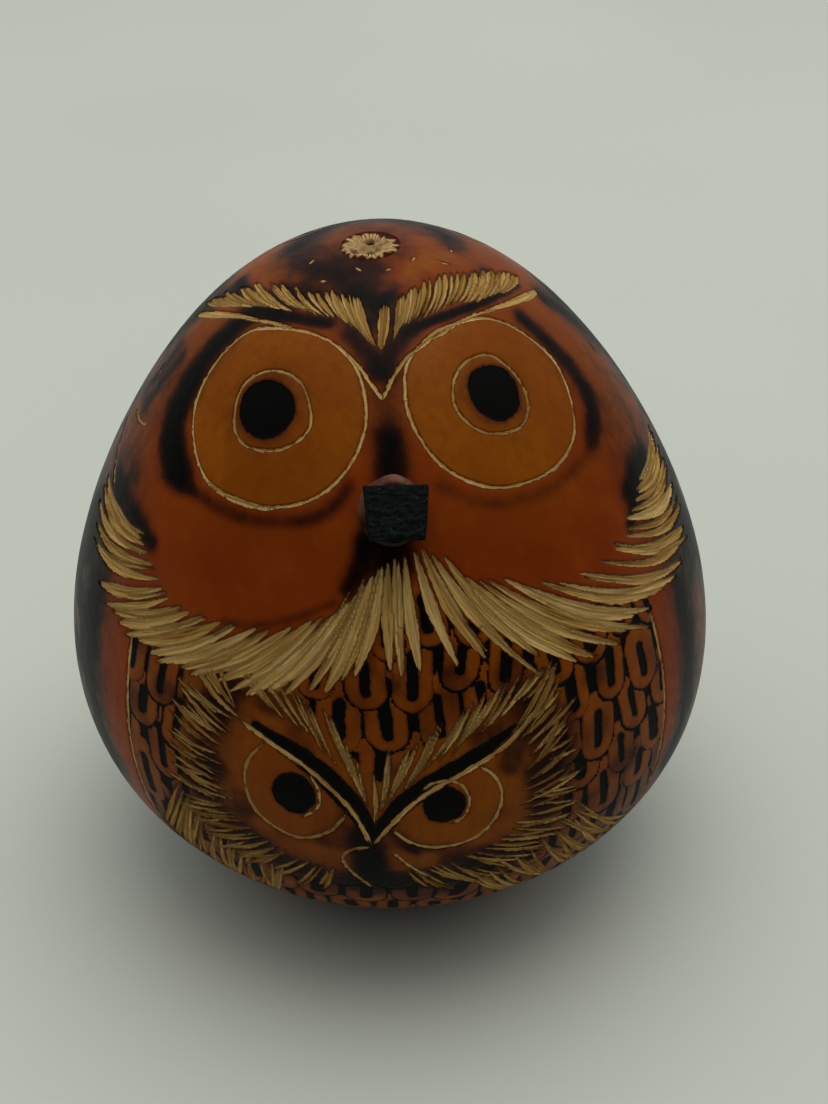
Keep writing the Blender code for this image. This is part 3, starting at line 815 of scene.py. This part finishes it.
class Paint:
    """A short way to write a node material, or the world's nodes."""

    def __init__(self, name, owner=None):
        self.material = owner or bpy.data.materials.new(name)
        self.material.use_nodes = True
        self.tree = self.material.node_tree

    def put(self, socket, value):
        if isinstance(value, bpy.types.NodeSocket):
            self.tree.links.new(value, socket)
        elif value is not None:
            socket.default_value = value

    def node(self, kind, settings=None, **inputs):
        """A new node. An input's spaces are written as underscores."""
        node = self.tree.nodes.new("ShaderNode" + kind)
        for name, value in (settings or {}).items():
            setattr(node, name, value)
        for name, value in inputs.items():
            self.put(node.inputs[name.replace("_", " ")], value)
        return node

    def finish(self, colour, roughness, normal, **others):
        shader = self.tree.nodes["Principled BSDF"]
        given = {"Base_Color": colour, "Roughness": roughness, "Normal": normal, **others}
        for name, value in given.items():
            self.put(shader.inputs[name.replace("_", " ")], value)
        return self.material

    def value(self, name, output="Fac"):
        return self.node("Attribute", {"attribute_name": name}).outputs[output]

    def place(self, scale=(1, 1, 1), source=None):
        if source is None:
            source = self.node("TexCoord").outputs["Object"]
        return self.node("Mapping", Vector=source, Scale=scale).outputs["Vector"]

    def noise(self, vector, scale, detail=3.0, roughness=0.55, distortion=0.0):
        return self.node("TexNoise", Vector=vector, Scale=scale, Detail=detail, Roughness=roughness,
                         Distortion=distortion).outputs["Fac"]

    def cells(self, vector, scale):
        return self.node("TexVoronoi", Vector=vector, Scale=scale).outputs["Distance"]

    def math(self, operation, *values):
        node = self.node("Math", {"operation": operation})
        for socket, value in zip(node.inputs, (*values, 0.0)):
            self.put(socket, value)
        return node.outputs[0]

    def nudge(self, value, noise, amount):
        """value, moved up and down by up to half of amount."""
        return self.math("MULTIPLY_ADD", self.math("SUBTRACT", noise, 0.5), amount, value)

    def span(self, value, low, high, to_low=0.0, to_high=1.0):
        """value from low..high to to_low..to_high, smooth and clamped."""
        node = self.node("MapRange", {"interpolation_type": "SMOOTHSTEP"})
        for socket, given in zip(node.inputs, (value, low, high, to_low, to_high)):
            self.put(socket, given)
        return node.outputs[0]

    def mix(self, share, *colours):
        node = self.node("Mix", {"data_type": "RGBA"})
        self.put(node.inputs[0], share)
        for socket, colour in zip(node.inputs[6:8], colours):
            self.put(socket, colour if isinstance(colour, bpy.types.NodeSocket) else (*colour, 1))
        return node.outputs[2]

    def tint(self, base, colour, value, low, high, most=1.0):
        """base, with more of colour, up to most, as value goes from low to high."""
        return self.mix(self.span(value, low, high, 0.0, most), base, colour)

    def ramp(self, value, *stops):
        node = self.node("ValToRGB", Fac=value)
        band = node.color_ramp
        while len(band.elements) < len(stops):
            band.elements.new(0.5)
        for element, (position, colour) in zip(band.elements, stops):
            element.position = position
            element.color = (*colour, 1)
        return node.outputs[0]

    def bump(self, height, distance, strength=1.0, under=None):
        return self.node("Bump", Height=height, Distance=distance, Strength=strength, Normal=under).outputs[0]


RED_RIND = (0.255, 0.042, 0.003)
DARK_RIND = (0.175, 0.024, 0.002)
AMBER = (0.27, 0.074, 0.002)
DEEP_AMBER = (0.205, 0.050, 0.0015)
SCORCH = (0.040, 0.007, 0.002)
SOOT = (0.0014, 0.0010, 0.0010)
BRIGHT_CUT = (0.80, 0.55, 0.25)
FRESH_CUT = (0.57, 0.36, 0.125)
OLD_CUT = (0.36, 0.19, 0.045)
CUT_SHADOW = (0.15, 0.055, 0.008)


def rind_material():
    """Red-brown dye, amber dye, smoke and painted shadow, char, a dark rim round each cut that is partly
    painted shade, and pale fibrous wood where the gouge has cut.
    """
    paint = Paint("carved_rind")
    body = paint.place()
    patches = paint.noise(body, 55, 3, 0.6, 0.4)
    fibres = paint.noise(paint.place((900, 900, 90)), 1.0, 3, 0.6)
    mottles = paint.noise(body, 420, 3, 0.6)
    red = paint.tint(DARK_RIND, RED_RIND, patches, 0.3, 0.7)
    amber = paint.tint(DEEP_AMBER, AMBER, patches, 0.3, 0.7)
    base = paint.mix(paint.value("gold"), red, amber)
    base = paint.tint(base, DARK_RIND, fibres, 0.35, 0.75, 0.35)
    base = paint.tint(base, AMBER, mottles, 0.55, 0.8, 0.25)

    # Smoke and the painted shadow under the beak, broken up by noise.
    darkening = paint.nudge(paint.nudge(paint.value("scorch_shade"), mottles, 0.5), patches, 0.35)
    base = paint.tint(base, SCORCH, darkening, 0.02, 0.75)
    base = paint.tint(base, SOOT, darkening, 0.4, 1.0)
    charred = paint.nudge(paint.value("ink"), mottles, 0.6)
    charred = paint.nudge(charred, paint.noise(body, 1500, 2, 0.6), 0.4)
    base = paint.tint(base, SCORCH, charred, -0.4, 0.0, 0.5)
    base = paint.tint(base, SOOT, charred, -0.05, 0.07)

    stroke = paint.place((1, 1, 1), paint.value("flow", "Vector"))
    streaks = paint.noise(paint.place((3.4, 0.14, 1), stroke), 1.0, 3, 0.65)
    pores = paint.noise(paint.place((7.0, 1.1, 1), stroke), 1.0, 3, 0.6)
    toned = paint.nudge(streaks, paint.value("shade"), 0.35)
    pale = paint.ramp(toned, (0.2, CUT_SHADOW), (0.38, OLD_CUT), (0.6, FRESH_CUT), (0.85, BRIGHT_CUT))
    pale = paint.tint(pale, CUT_SHADOW, pores, 0.6, 0.8, 0.45)
    frayed = paint.nudge(paint.value("cut"), pores, 0.5)
    is_cut = paint.span(frayed, -0.03, 0.05)
    # A dark rim just outside each cut: scorch colour, partly painted shade along the groove's edge.
    base = paint.tint(base, SCORCH, frayed, -0.3, -0.02, 0.45)
    base = paint.mix(is_cut, base, pale)
    inner = paint.tint((0.42, 0.29, 0.14), (0.60, 0.45, 0.25), mottles, 0.3, 0.7)
    base = paint.mix(paint.value("bare"), base, inner)

    rough = paint.math("MULTIPLY_ADD", mottles, 0.16, 0.27)
    rough = paint.math("MAXIMUM", rough, paint.span(darkening, 0.3, 0.9, 0.0, 0.42))
    rough = paint.math("MAXIMUM", rough, paint.span(charred, -0.05, 0.1, 0.0, 0.55))
    rough = paint.math("MAXIMUM", rough, paint.math("MULTIPLY", is_cut, 0.8))
    skin = paint.bump(mottles, 0.00006, 0.6, paint.bump(fibres, 0.00003, 0.6))
    skin = paint.bump(paint.math("MULTIPLY", streaks, is_cut), 0.00030, 0.9, skin)
    return paint.finish(base, rough, skin, Specular_IOR_Level=0.05)


# ---- placing pieces


def add_object(name, data):
    thing = bpy.data.objects.new(name, data)
    bpy.context.scene.collection.objects.link(thing)
    return thing


def add_piece(name, mesh, material, body, node):
    """A visible piece that rides on a body and stands for a CAD node."""
    thing = add_object(name, mesh)
    mesh.materials.append(material)
    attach(thing, body)
    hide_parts(node)


def beak_seat():
    """Where the beak stands on the gourd: Z out of it, Y up the face."""
    place = surface(BEAK_AZIMUTH, BEAK_DROP)
    normal = outward(BEAK_AZIMUTH, BEAK_DROP)
    elevation = math.asin(normal[2])
    turn = Euler((math.pi / 2 - elevation, 0.0, math.radians(BEAK_AZIMUTH))).to_matrix().to_4x4()
    return Matrix.Translation(Vector(place) * MM) @ turn


def make_gourd():
    carve()
    add_piece("carved_gourd", make_skin(), rind_material(), "gourd", "gourd_shell")


# ---- the beak and its glue

BEAK_HALF = np.array([3.8, 3.2, 1.5])
BEAK_TOP_WIDTH, BEAK_BOTTOM_WIDTH = 2 * BEAK_HALF[0], 6.4
BEAK_BACK, BEAK_TOP_REACH, BEAK_BOTTOM_REACH = 1.2, 3.0, 4.6
BEAK_CUTS = 46
TENON_RADIUS, TENON_DEPTH = 2.7, 4.0


@contextmanager
def edited(mesh):
    """Opens a mesh for bmesh's tools, and writes the result back."""
    shape = bmesh.new()
    shape.from_mesh(mesh)
    yield shape
    shape.to_mesh(mesh)
    shape.free()


def unit_block(cuts):
    """A finely divided cube from -1 to 1."""
    mesh = bpy.data.meshes.new("block")
    with edited(mesh) as shape:
        bmesh.ops.create_cube(shape, size=2.0)
        bmesh.ops.subdivide_edges(shape, edges=shape.edges[:], cuts=cuts, use_grid_fill=True)
    return mesh


def read_points(mesh):
    points = np.zeros(len(mesh.vertices) * 3, np.float32)
    mesh.vertices.foreach_get("co", points)
    return points.reshape(-1, 3).astype(float)


def write_points(mesh, points):
    mesh.vertices.foreach_set("co", np.asarray(points, np.float32).ravel())
    mesh.update()


def face_outward(mesh):
    with edited(mesh) as shape:
        bmesh.ops.recalc_face_normals(shape, faces=shape.faces[:])
    mesh.shade_smooth()
    return mesh


def set_value(mesh, name, values):
    layer = mesh.attributes.get(name) or mesh.attributes.new(name, "FLOAT", "POINT")
    layer.data.foreach_set("value", np.asarray(values, np.float32))


def beak_mesh():
    """A sawn and charred block: torn end grain on its sloping face, saw marks on its sides, chipped edges."""
    mesh = unit_block(BEAK_CUTS)
    span = read_points(mesh) * BEAK_HALF
    chip = (0.22 + 0.5 * value_noise(span + 5, 1.1, 21) ** 2)[:, None]
    core = np.clip(span, chip - BEAK_HALF, BEAK_HALF - chip)
    away = span - core
    facing = away / np.maximum(np.linalg.norm(away, axis=1, keepdims=True), 1e-6)
    torn = value_noise(span * (0.8, 1.2, 1.0), 0.42, 22) * 0.5 + value_noise(span, 0.2, 23) * 0.5
    pit = smoothstep(0.42, 0.68, torn)
    front = smoothstep(0.5, 0.9, facing[:, 2])
    sawn = 0.05 * np.abs(np.sin(span[:, 2] * 7.0 + value_noise(span, 2.0, 24) * 5))
    sunk = 0.03 + front * 0.12 * pit + (1 - front) * (sawn + 0.08 * value_noise(span, 0.5, 25))
    point = core + facing * chip - facing * sunk[:, None]
    up = point[:, 1] / BEAK_HALF[1]
    width = np.interp(up, (-1, 1), (BEAK_BOTTOM_WIDTH, BEAK_TOP_WIDTH))
    reach = np.interp(up, (-1, 1), (BEAK_BOTTOM_REACH, BEAK_TOP_REACH))
    depth = (point[:, 2] / BEAK_HALF[2] + 1) / 2
    point[:, 0] *= width / BEAK_TOP_WIDTH
    point[:, 2] = BEAK_BACK + depth * (reach - BEAK_BACK)
    write_points(mesh, point * MM)
    # The pits on the end grain, which the material paints black: painted shade in the pits.
    set_value(mesh, "pit", pit * front)
    return mesh


def add_tenon(mesh):
    """The round peg under the block, which sits in the socket."""
    low, high = -TENON_DEPTH, (BEAK_BACK + BEAK_TOP_REACH) / 2
    middle = Matrix.Translation((0, 0, (low + high) / 2 * MM))
    radius = TENON_RADIUS * MM
    with edited(mesh) as shape:
        bmesh.ops.create_cone(shape, cap_ends=True, segments=48, radius1=radius, radius2=radius,
                              depth=(high - low) * MM, matrix=middle)


def make_beak(seat):
    mesh = beak_mesh()
    add_tenon(mesh)
    mesh.transform(seat)
    face_outward(mesh)
    add_piece("wood_beak", mesh, black_wood_material(), "gourd", "beak")


def black_wood_material():
    paint = Paint("charred_wood")
    grain = paint.noise(paint.place((900, 2600, 2600)), 1.0, 4, 0.6)
    speckle = paint.noise(paint.place(), 2600, 3, 0.65)
    black, dark, worn = (0.0015, 0.002, 0.002), (0.003, 0.006, 0.006), (0.008, 0.015, 0.015)
    base = paint.ramp(grain, (0.3, black), (0.6, dark), (0.8, worn))
    base = paint.tint(base, (0.030, 0.044, 0.048), speckle, 0.6, 0.72, 0.8)
    # The pits painted the darkest black: painted shade in the pits of the end grain.
    base = paint.mix(paint.value("pit"), base, black)
    rough = paint.math("MULTIPLY_ADD", grain, 0.4, 0.32)
    bumps = paint.bump(speckle, 0.00006, 0.8, paint.bump(grain, 0.00012, 0.9))
    return paint.finish(base, rough, bumps, Specular_IOR_Level=0.05)


GLUE_INNER, GLUE_OUTER, GLUE_RISE = 2.95, 4.5, 0.5
GLUE_TURNS, GLUE_RINGS = 160, 18


def glue_mesh():
    """A squeezed-out bead of glue that hugs the gourd round the beak's foot."""
    turn = np.linspace(0, 2 * math.pi, GLUE_TURNS, endpoint=False)[:, None]
    around = np.linspace(0, 2 * math.pi, GLUE_RINGS, endpoint=False)[None, :]
    ring = np.concatenate([np.cos(turn), np.sin(turn), np.zeros_like(turn)], -1) * 4
    swell = 0.75 + 0.5 * value_noise(ring, 2.4, 31)[:, None]
    reach = GLUE_OUTER + 0.22 * (value_noise(ring, 1.8, 32)[:, None] - 0.7)
    reach = reach - 0.75 * np.clip(np.cos(turn), 0, 1) - 0.6 * np.clip(-np.sin(turn), 0, 1)
    middle, half = (GLUE_INNER + reach) / 2, (reach - GLUE_INNER) / 2
    radius = middle + half * np.cos(around)
    rise = np.clip(np.sin(around), -0.12, 1) * GLUE_RISE * swell * (0.5 + 0.5 * np.cos(around - 2.2) ** 2)
    across, up = radius * np.cos(turn), radius * np.sin(turn)
    azimuth = BEAK_AZIMUTH + np.degrees(across / girth_at(BEAK_DROP))
    points = surface(azimuth, BEAK_DROP - up) + outward(azimuth, BEAK_DROP - up) * (rise - 0.12)[..., None]
    faces = grid_faces(0, GLUE_TURNS, GLUE_RINGS)
    index = np.arange(GLUE_RINGS)
    last = (GLUE_TURNS - 1) * GLUE_RINGS + index
    close = np.stack([last, index, np.roll(index, -1), np.roll(last, -1)], -1)
    mesh = mesh_from("glue_bead", points.reshape(-1, 3), [faces[:, ::-1], close[:, ::-1]])
    # The lower part of the bead, under the beak, is painted near black: soot, and painted shadow of the beak.
    set_value(mesh, "soot_and_beak_shadow", (smoothstep(0.1, -0.5, np.sin(turn)) + 0 * rise).ravel())
    return face_outward(mesh)


def glue_material():
    paint = Paint("dried_glue")
    cloud = paint.noise(paint.place(), 700, 3, 0.6)
    streak = paint.noise(paint.place((1500, 1500, 400)), 1.0, 2)
    base = paint.tint((0.09, 0.024, 0.010), (0.17, 0.065, 0.035), cloud, 0.35, 0.7)
    base = paint.tint(base, (0.30, 0.16, 0.11), streak, 0.6, 0.8, 0.4)
    # Near black on the lower part: soot and painted shadow of the beak.
    base = paint.mix(paint.value("soot_and_beak_shadow"), base, (0.012, 0.004, 0.002))
    rough = paint.math("MULTIPLY_ADD", streak, 0.2, 0.08)
    return paint.finish(base, rough, paint.bump(cloud, 0.00015, 0.6), Transmission_Weight=0.12,
                        Specular_IOR_Level=0.08, IOR=1.48)


# ---- the stem stub

STUB_RADIUS = 3.74
STUB_FOOT_RADIUS = 2.8
STUB_DEPTH = 6.0
STUB_TURNS, STUB_RINGS = 144, 44


def stub_mesh():
    """The torn end of the stem: splayed fibres round a pitted crater, and a plug below."""
    turn = np.linspace(0, 2 * math.pi, STUB_TURNS, endpoint=False)[None, :]
    share = np.linspace(0.02, 1.0, STUB_RINGS)[:, None]
    radius = STUB_RADIUS * share
    centre = surface(*from_scar(0.0, 0.0))
    across, back = radius * np.cos(turn), radius * np.sin(turn)
    flat = np.stack([across, back, np.zeros_like(across)], -1)
    ripple = 0.35 * value_noise(flat, 1.2, 41)
    fibre = np.abs(np.sin(turn * 19 + ripple * 9 + share * 2)) ** 0.8
    polar = np.stack([7 * turn + 0 * share, 2.2 * share + 0 * turn, 0 * flat[..., 0]], -1)
    coarse = value_noise(polar, 0.9, 42)
    hole = smoothstep(0.52, 0.72, value_noise(flat * (1, 1.25, 1), 0.95, 43)) * smoothstep(0.85, 0.5, share)
    crater = 0.75 * smoothstep(0.95, 0.25, share)
    splay = 0.28 * fibre * smoothstep(0.15, 0.6, share) * smoothstep(1.02, 0.8, share)
    ragged = 0.22 * (coarse - 0.4) * smoothstep(0.3, 0.8, share) * smoothstep(1.0, 0.85, share)
    level = np.hypot(centre[0] + CROWN_LEAN + across, centre[1] + back)
    skin_level = np.interp(level, RADII[UPPER_HALF], HEIGHTS[UPPER_HALF])
    height = skin_level - 0.09 - crater + splay + ragged - 0.8 * hole - 0.06 * value_noise(flat, 0.3, 44)
    height = np.minimum(height, TOP_LIMIT)
    top = np.stack([centre[0] + across, centre[1] + back, height], -1)
    low = top[-1].copy()
    low[:, 2] = HEIGHT - WALL
    foot = low.copy()
    foot[:, 0] = centre[0] + STUB_FOOT_RADIUS * np.cos(turn[0])
    foot[:, 1] = centre[1] + STUB_FOOT_RADIUS * np.sin(turn[0])
    foot[:, 2] = HEIGHT - STUB_DEPTH
    rows = np.concatenate([top, low[None], foot[None]])
    points = np.concatenate([rows.reshape(-1, 3), [top[0].mean(0)], [foot.mean(0)]])
    count = len(rows)
    index = np.arange(STUB_TURNS)
    last = (count - 1) * STUB_TURNS + index
    cap = np.stack([index, np.roll(index, -1), np.full(STUB_TURNS, len(points) - 2)], -1)
    base = np.stack([last, np.full(STUB_TURNS, len(points) - 1), np.roll(last, -1)], -1)
    mesh = mesh_from("stem_stub_fibres", points, [grid_faces(0, count, STUB_TURNS), cap, base])
    extra = [0.0] * (2 * STUB_TURNS + 2)
    # The holes and the crater's middle, which the material paints dark: painted shade in the hollows.
    pit = np.maximum(hole, 0.5 * smoothstep(0.75, 0.2, share))
    set_value(mesh, "pit", np.concatenate([pit.ravel(), extra]))
    set_value(mesh, "fibre", np.concatenate([(fibre + 0 * share).ravel(), extra]))
    rim = share + 0.35 * (coarse - 0.5) + 0.1 * np.sin(turn + 0.6)
    set_value(mesh, "rim", np.concatenate([rim.ravel(), [1.0] * len(extra)]))
    return face_outward(mesh)


def stem_material():
    paint = Paint("stem_fibres")
    fine = paint.noise(paint.place(), 1900, 4, 0.65)
    toned = paint.math("MULTIPLY_ADD", paint.value("fibre"), 0.45, paint.math("MULTIPLY", fine, 0.65))
    dark, middle, pale = (0.10, 0.04, 0.012), (0.28, 0.145, 0.05), (0.58, 0.40, 0.20)
    base = paint.ramp(toned, (0.25, dark), (0.48, middle), (0.8, pale))
    # Dark in the holes and the crater's middle: painted shade in the hollows.
    base = paint.tint(base, (0.03, 0.010, 0.004), paint.value("pit"), 0.2, 0.85)
    edge = paint.math("MULTIPLY_ADD", fine, 0.25, paint.value("rim"))
    base = paint.tint(base, (0.045, 0.009, 0.002), edge, 0.86, 1.0)
    rough = paint.math("MULTIPLY_ADD", fine, 0.2, 0.75)
    return paint.finish(base, rough, paint.bump(fine, 0.00012, 0.8), Specular_IOR_Level=0.05)


# ---- pith and seeds


def pith_material():
    paint = Paint("dry_pith")
    body = paint.place()
    sponge = paint.cells(body, 900)
    cloud = paint.noise(body, 180, 3, 0.6)
    base = paint.tint((0.50, 0.38, 0.20), (0.74, 0.64, 0.44), cloud, 0.3, 0.7)
    # Dark spots in the sponge's hollows: painted shade in the pores.
    base = paint.mix(paint.span(sponge, 0.05, 0.3, 0.6, 0.0), base, (0.28, 0.18, 0.08))
    rough = paint.math("MULTIPLY_ADD", cloud, 0.1, 0.85)
    return paint.finish(base, rough, paint.bump(sponge, 0.0005))


def seed_material():
    paint = Paint("dry_seed")
    cloud = paint.noise(paint.place(), 350, 3, 0.6)
    thread = paint.noise(paint.place((400, 3200, 3200)), 1.0, 3)
    base = paint.tint((0.42, 0.27, 0.12), (0.62, 0.46, 0.26), cloud, 0.3, 0.7)
    base = paint.tint(base, (0.26, 0.14, 0.05), paint.value("rim"), 0.2, 0.8, 0.6)
    base = paint.tint(base, (0.22, 0.12, 0.05), thread, 0.55, 0.75, 0.3)
    rough = paint.math("MULTIPLY_ADD", thread, 0.2, 0.55)
    return paint.finish(base, rough, paint.bump(thread, 0.00008, 0.7))


SEED_HALF = np.array([6.25, 3.1, 1.2]) * 0.985
SEED_TAPER = 0.28
SEED_TURNS, SEED_RINGS = 48, 28


def seed_mesh(name):
    """A flat dry seed with a thick rim round a sunken face, and a notch at its narrow end."""
    turn = np.linspace(0, 2 * math.pi, SEED_TURNS, endpoint=False)[None, :]
    polar = np.linspace(0.001, math.pi - 0.001, SEED_RINGS)[:, None]
    x, y, z = np.sin(polar) * np.cos(turn), np.sin(polar) * np.sin(turn), np.cos(polar) + 0 * turn
    edge = np.hypot(x, y)
    rim = smoothstep(0.62, 0.86, edge)
    lift = np.sign(z) * np.abs(z) ** 0.7 * (0.72 + 0.28 * rim)
    width = (1 + SEED_TAPER * 0.5 * x) / (1 + SEED_TAPER**2 / 8)
    notch = 1 - 0.06 * np.exp(-((x + 1) / 0.1) ** 2) * (np.abs(y) < 0.3)
    point = np.stack([x * notch * SEED_HALF[0], y * width * SEED_HALF[1], lift * SEED_HALF[2]], -1)
    point -= 0.04 * value_noise(point, 0.8, 51)[..., None] * np.sign(point)
    mesh = mesh_from(name, point.reshape(-1, 3), [grid_faces(0, SEED_RINGS, SEED_TURNS), *seed_caps()])
    set_value(mesh, "rim", rim.ravel())
    return face_outward(mesh)


def seed_caps():
    index = np.arange(SEED_TURNS)
    last = (SEED_RINGS - 1) * SEED_TURNS + index
    return index[None, ::-1], last[None, :]


def seed_frame(node):
    """Where a CAD seed lies: its length along X, broad end first, and its thickness along Z."""
    points = read_points(node.data)
    low, high = points.min(0), points.max(0)
    centre = points.mean(0)
    _, vectors = np.linalg.eigh(np.cov((points - centre).T))
    length, width = vectors[:, 2], vectors[:, 1]
    along = (points - centre) @ length
    across = np.abs((points - centre) @ width)
    if (across * along).sum() < 0:
        length = -length
    turn = Matrix(np.stack([length, width, np.cross(length, width)], 1).tolist()).to_4x4()
    middle = centre + length * (along.max() + along.min()) / 2
    return Matrix.Translation(Vector(middle)) @ turn


def make_seeds():
    material = seed_material()
    for name, node in sorted(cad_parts.items()):
        if "seed" in name:
            mesh = seed_mesh("dry_" + name)
            mesh.transform(seed_frame(node))
            body = name if name.startswith("loose") else "gourd"
            add_piece("dry_" + name, mesh, material, body, name)


def finish_pith():
    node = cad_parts["pith"]
    node.data.materials.clear()
    node.data.materials.append(pith_material())


# ---- floor, light, camera


def make_stage():
    mesh = bpy.data.meshes.new("table_top")
    with edited(mesh) as shape:
        bmesh.ops.create_grid(shape, x_segments=60, y_segments=60, size=1.5)
    paint = Paint("table_paper")
    broad = paint.noise(paint.place(), 4, 2)
    fine = paint.noise(paint.place(), 900, 3, 0.6)
    colour = paint.tint((0.545, 0.565, 0.52), (0.58, 0.60, 0.55), broad, 0.35, 0.65)
    colour = paint.tint(colour, (0.5, 0.52, 0.47), fine, 0.6, 0.85, 0.12)
    mesh.materials.append(paint.finish(colour, 0.75, paint.bump(fine, 0.00004, 0.3)))
    add_object("table_top", mesh)


SKY_COLOUR = (0.93, 0.97, 0.92, 1)
BACKDROP_COLOUR = (0.50, 0.52, 0.48, 1)
BRIGHTEST_TOWARD = (0.0, 0.42, 0.91)
DIM_SIDE, BRIGHT_SIDE = 0.045, 1.0
LAMP_PLACE, LAMP_TARGET = (0.05, 0.10, 0.95), (0, 0, 0.03)
LAMP_SIZE, LAMP_POWER, LAMP_COLOUR = 0.9, 3.2, (1.0, 0.97, 0.90)


def make_light():
    """A soft room, brightest above and behind, that the camera sees as a plain pale backdrop."""
    world = bpy.context.scene.world = bpy.data.worlds.new("soft_room")
    paint = Paint("", world)
    place = paint.node("TexCoord").outputs["Generated"]
    toward = paint.node("VectorMath", {"operation": "DOT_PRODUCT"})
    paint.put(toward.inputs[0], place)
    paint.put(toward.inputs[1], BRIGHTEST_TOWARD)
    strength = paint.span(toward.outputs["Value"], 0.05, 0.95, DIM_SIDE, BRIGHT_SIDE)
    sky = paint.tree.nodes["Background"]
    paint.put(sky.inputs["Color"], SKY_COLOUR)
    paint.put(sky.inputs["Strength"], strength)
    seen = paint.node("LightPath").outputs["Is Camera Ray"]
    backdrop = paint.node("Background", Color=BACKDROP_COLOUR)
    choose = paint.node("MixShader")
    for socket, value in zip(choose.inputs, (seen, sky.outputs[0], backdrop.outputs[0])):
        paint.put(socket, value)
    paint.put(paint.tree.nodes["World Output"].inputs["Surface"], choose.outputs[0])
    light = bpy.data.lights.new("overhead", "AREA")
    light.shape, light.size, light.energy, light.color = "DISK", LAMP_SIZE, LAMP_POWER, LAMP_COLOUR
    lamp = add_object("overhead", light)
    lamp.location = LAMP_PLACE
    lamp.rotation_euler = (Vector(LAMP_TARGET) - Vector(LAMP_PLACE)).to_track_quat("-Z", "Y").to_euler()


CAMERA_ELEVATION = math.radians(35)
CAMERA_DISTANCE = 0.240
CAMERA_AIM_HEIGHT = 0.04111


def make_camera():
    bpy.context.scene.view_settings.view_transform = "Standard"
    camera = bpy.data.cameras.new("camera")
    camera.sensor_fit, camera.sensor_width, camera.lens = "HORIZONTAL", 36, 76.44
    camera.shift_x, camera.shift_y = 0.02698, 0.02216
    camera.clip_start, camera.clip_end = 0.01, 10
    thing = bpy.context.scene.camera = add_object("camera", camera)
    back, up = CAMERA_DISTANCE * math.cos(CAMERA_ELEVATION), CAMERA_DISTANCE * math.sin(CAMERA_ELEVATION)
    thing.location = (0, -back, CAMERA_AIM_HEIGHT + up)
    thing.rotation_euler = (math.pi / 2 - CAMERA_ELEVATION, 0, 0)


make_gourd()
make_beak(beak_seat())
add_piece("glue_bead", glue_mesh(), glue_material(), "gourd", "beak_glue")
add_piece("stem_fibres", stub_mesh(), stem_material(), "gourd", "stem_stub")
make_seeds()
finish_pith()
make_stage()
make_light()
make_camera()
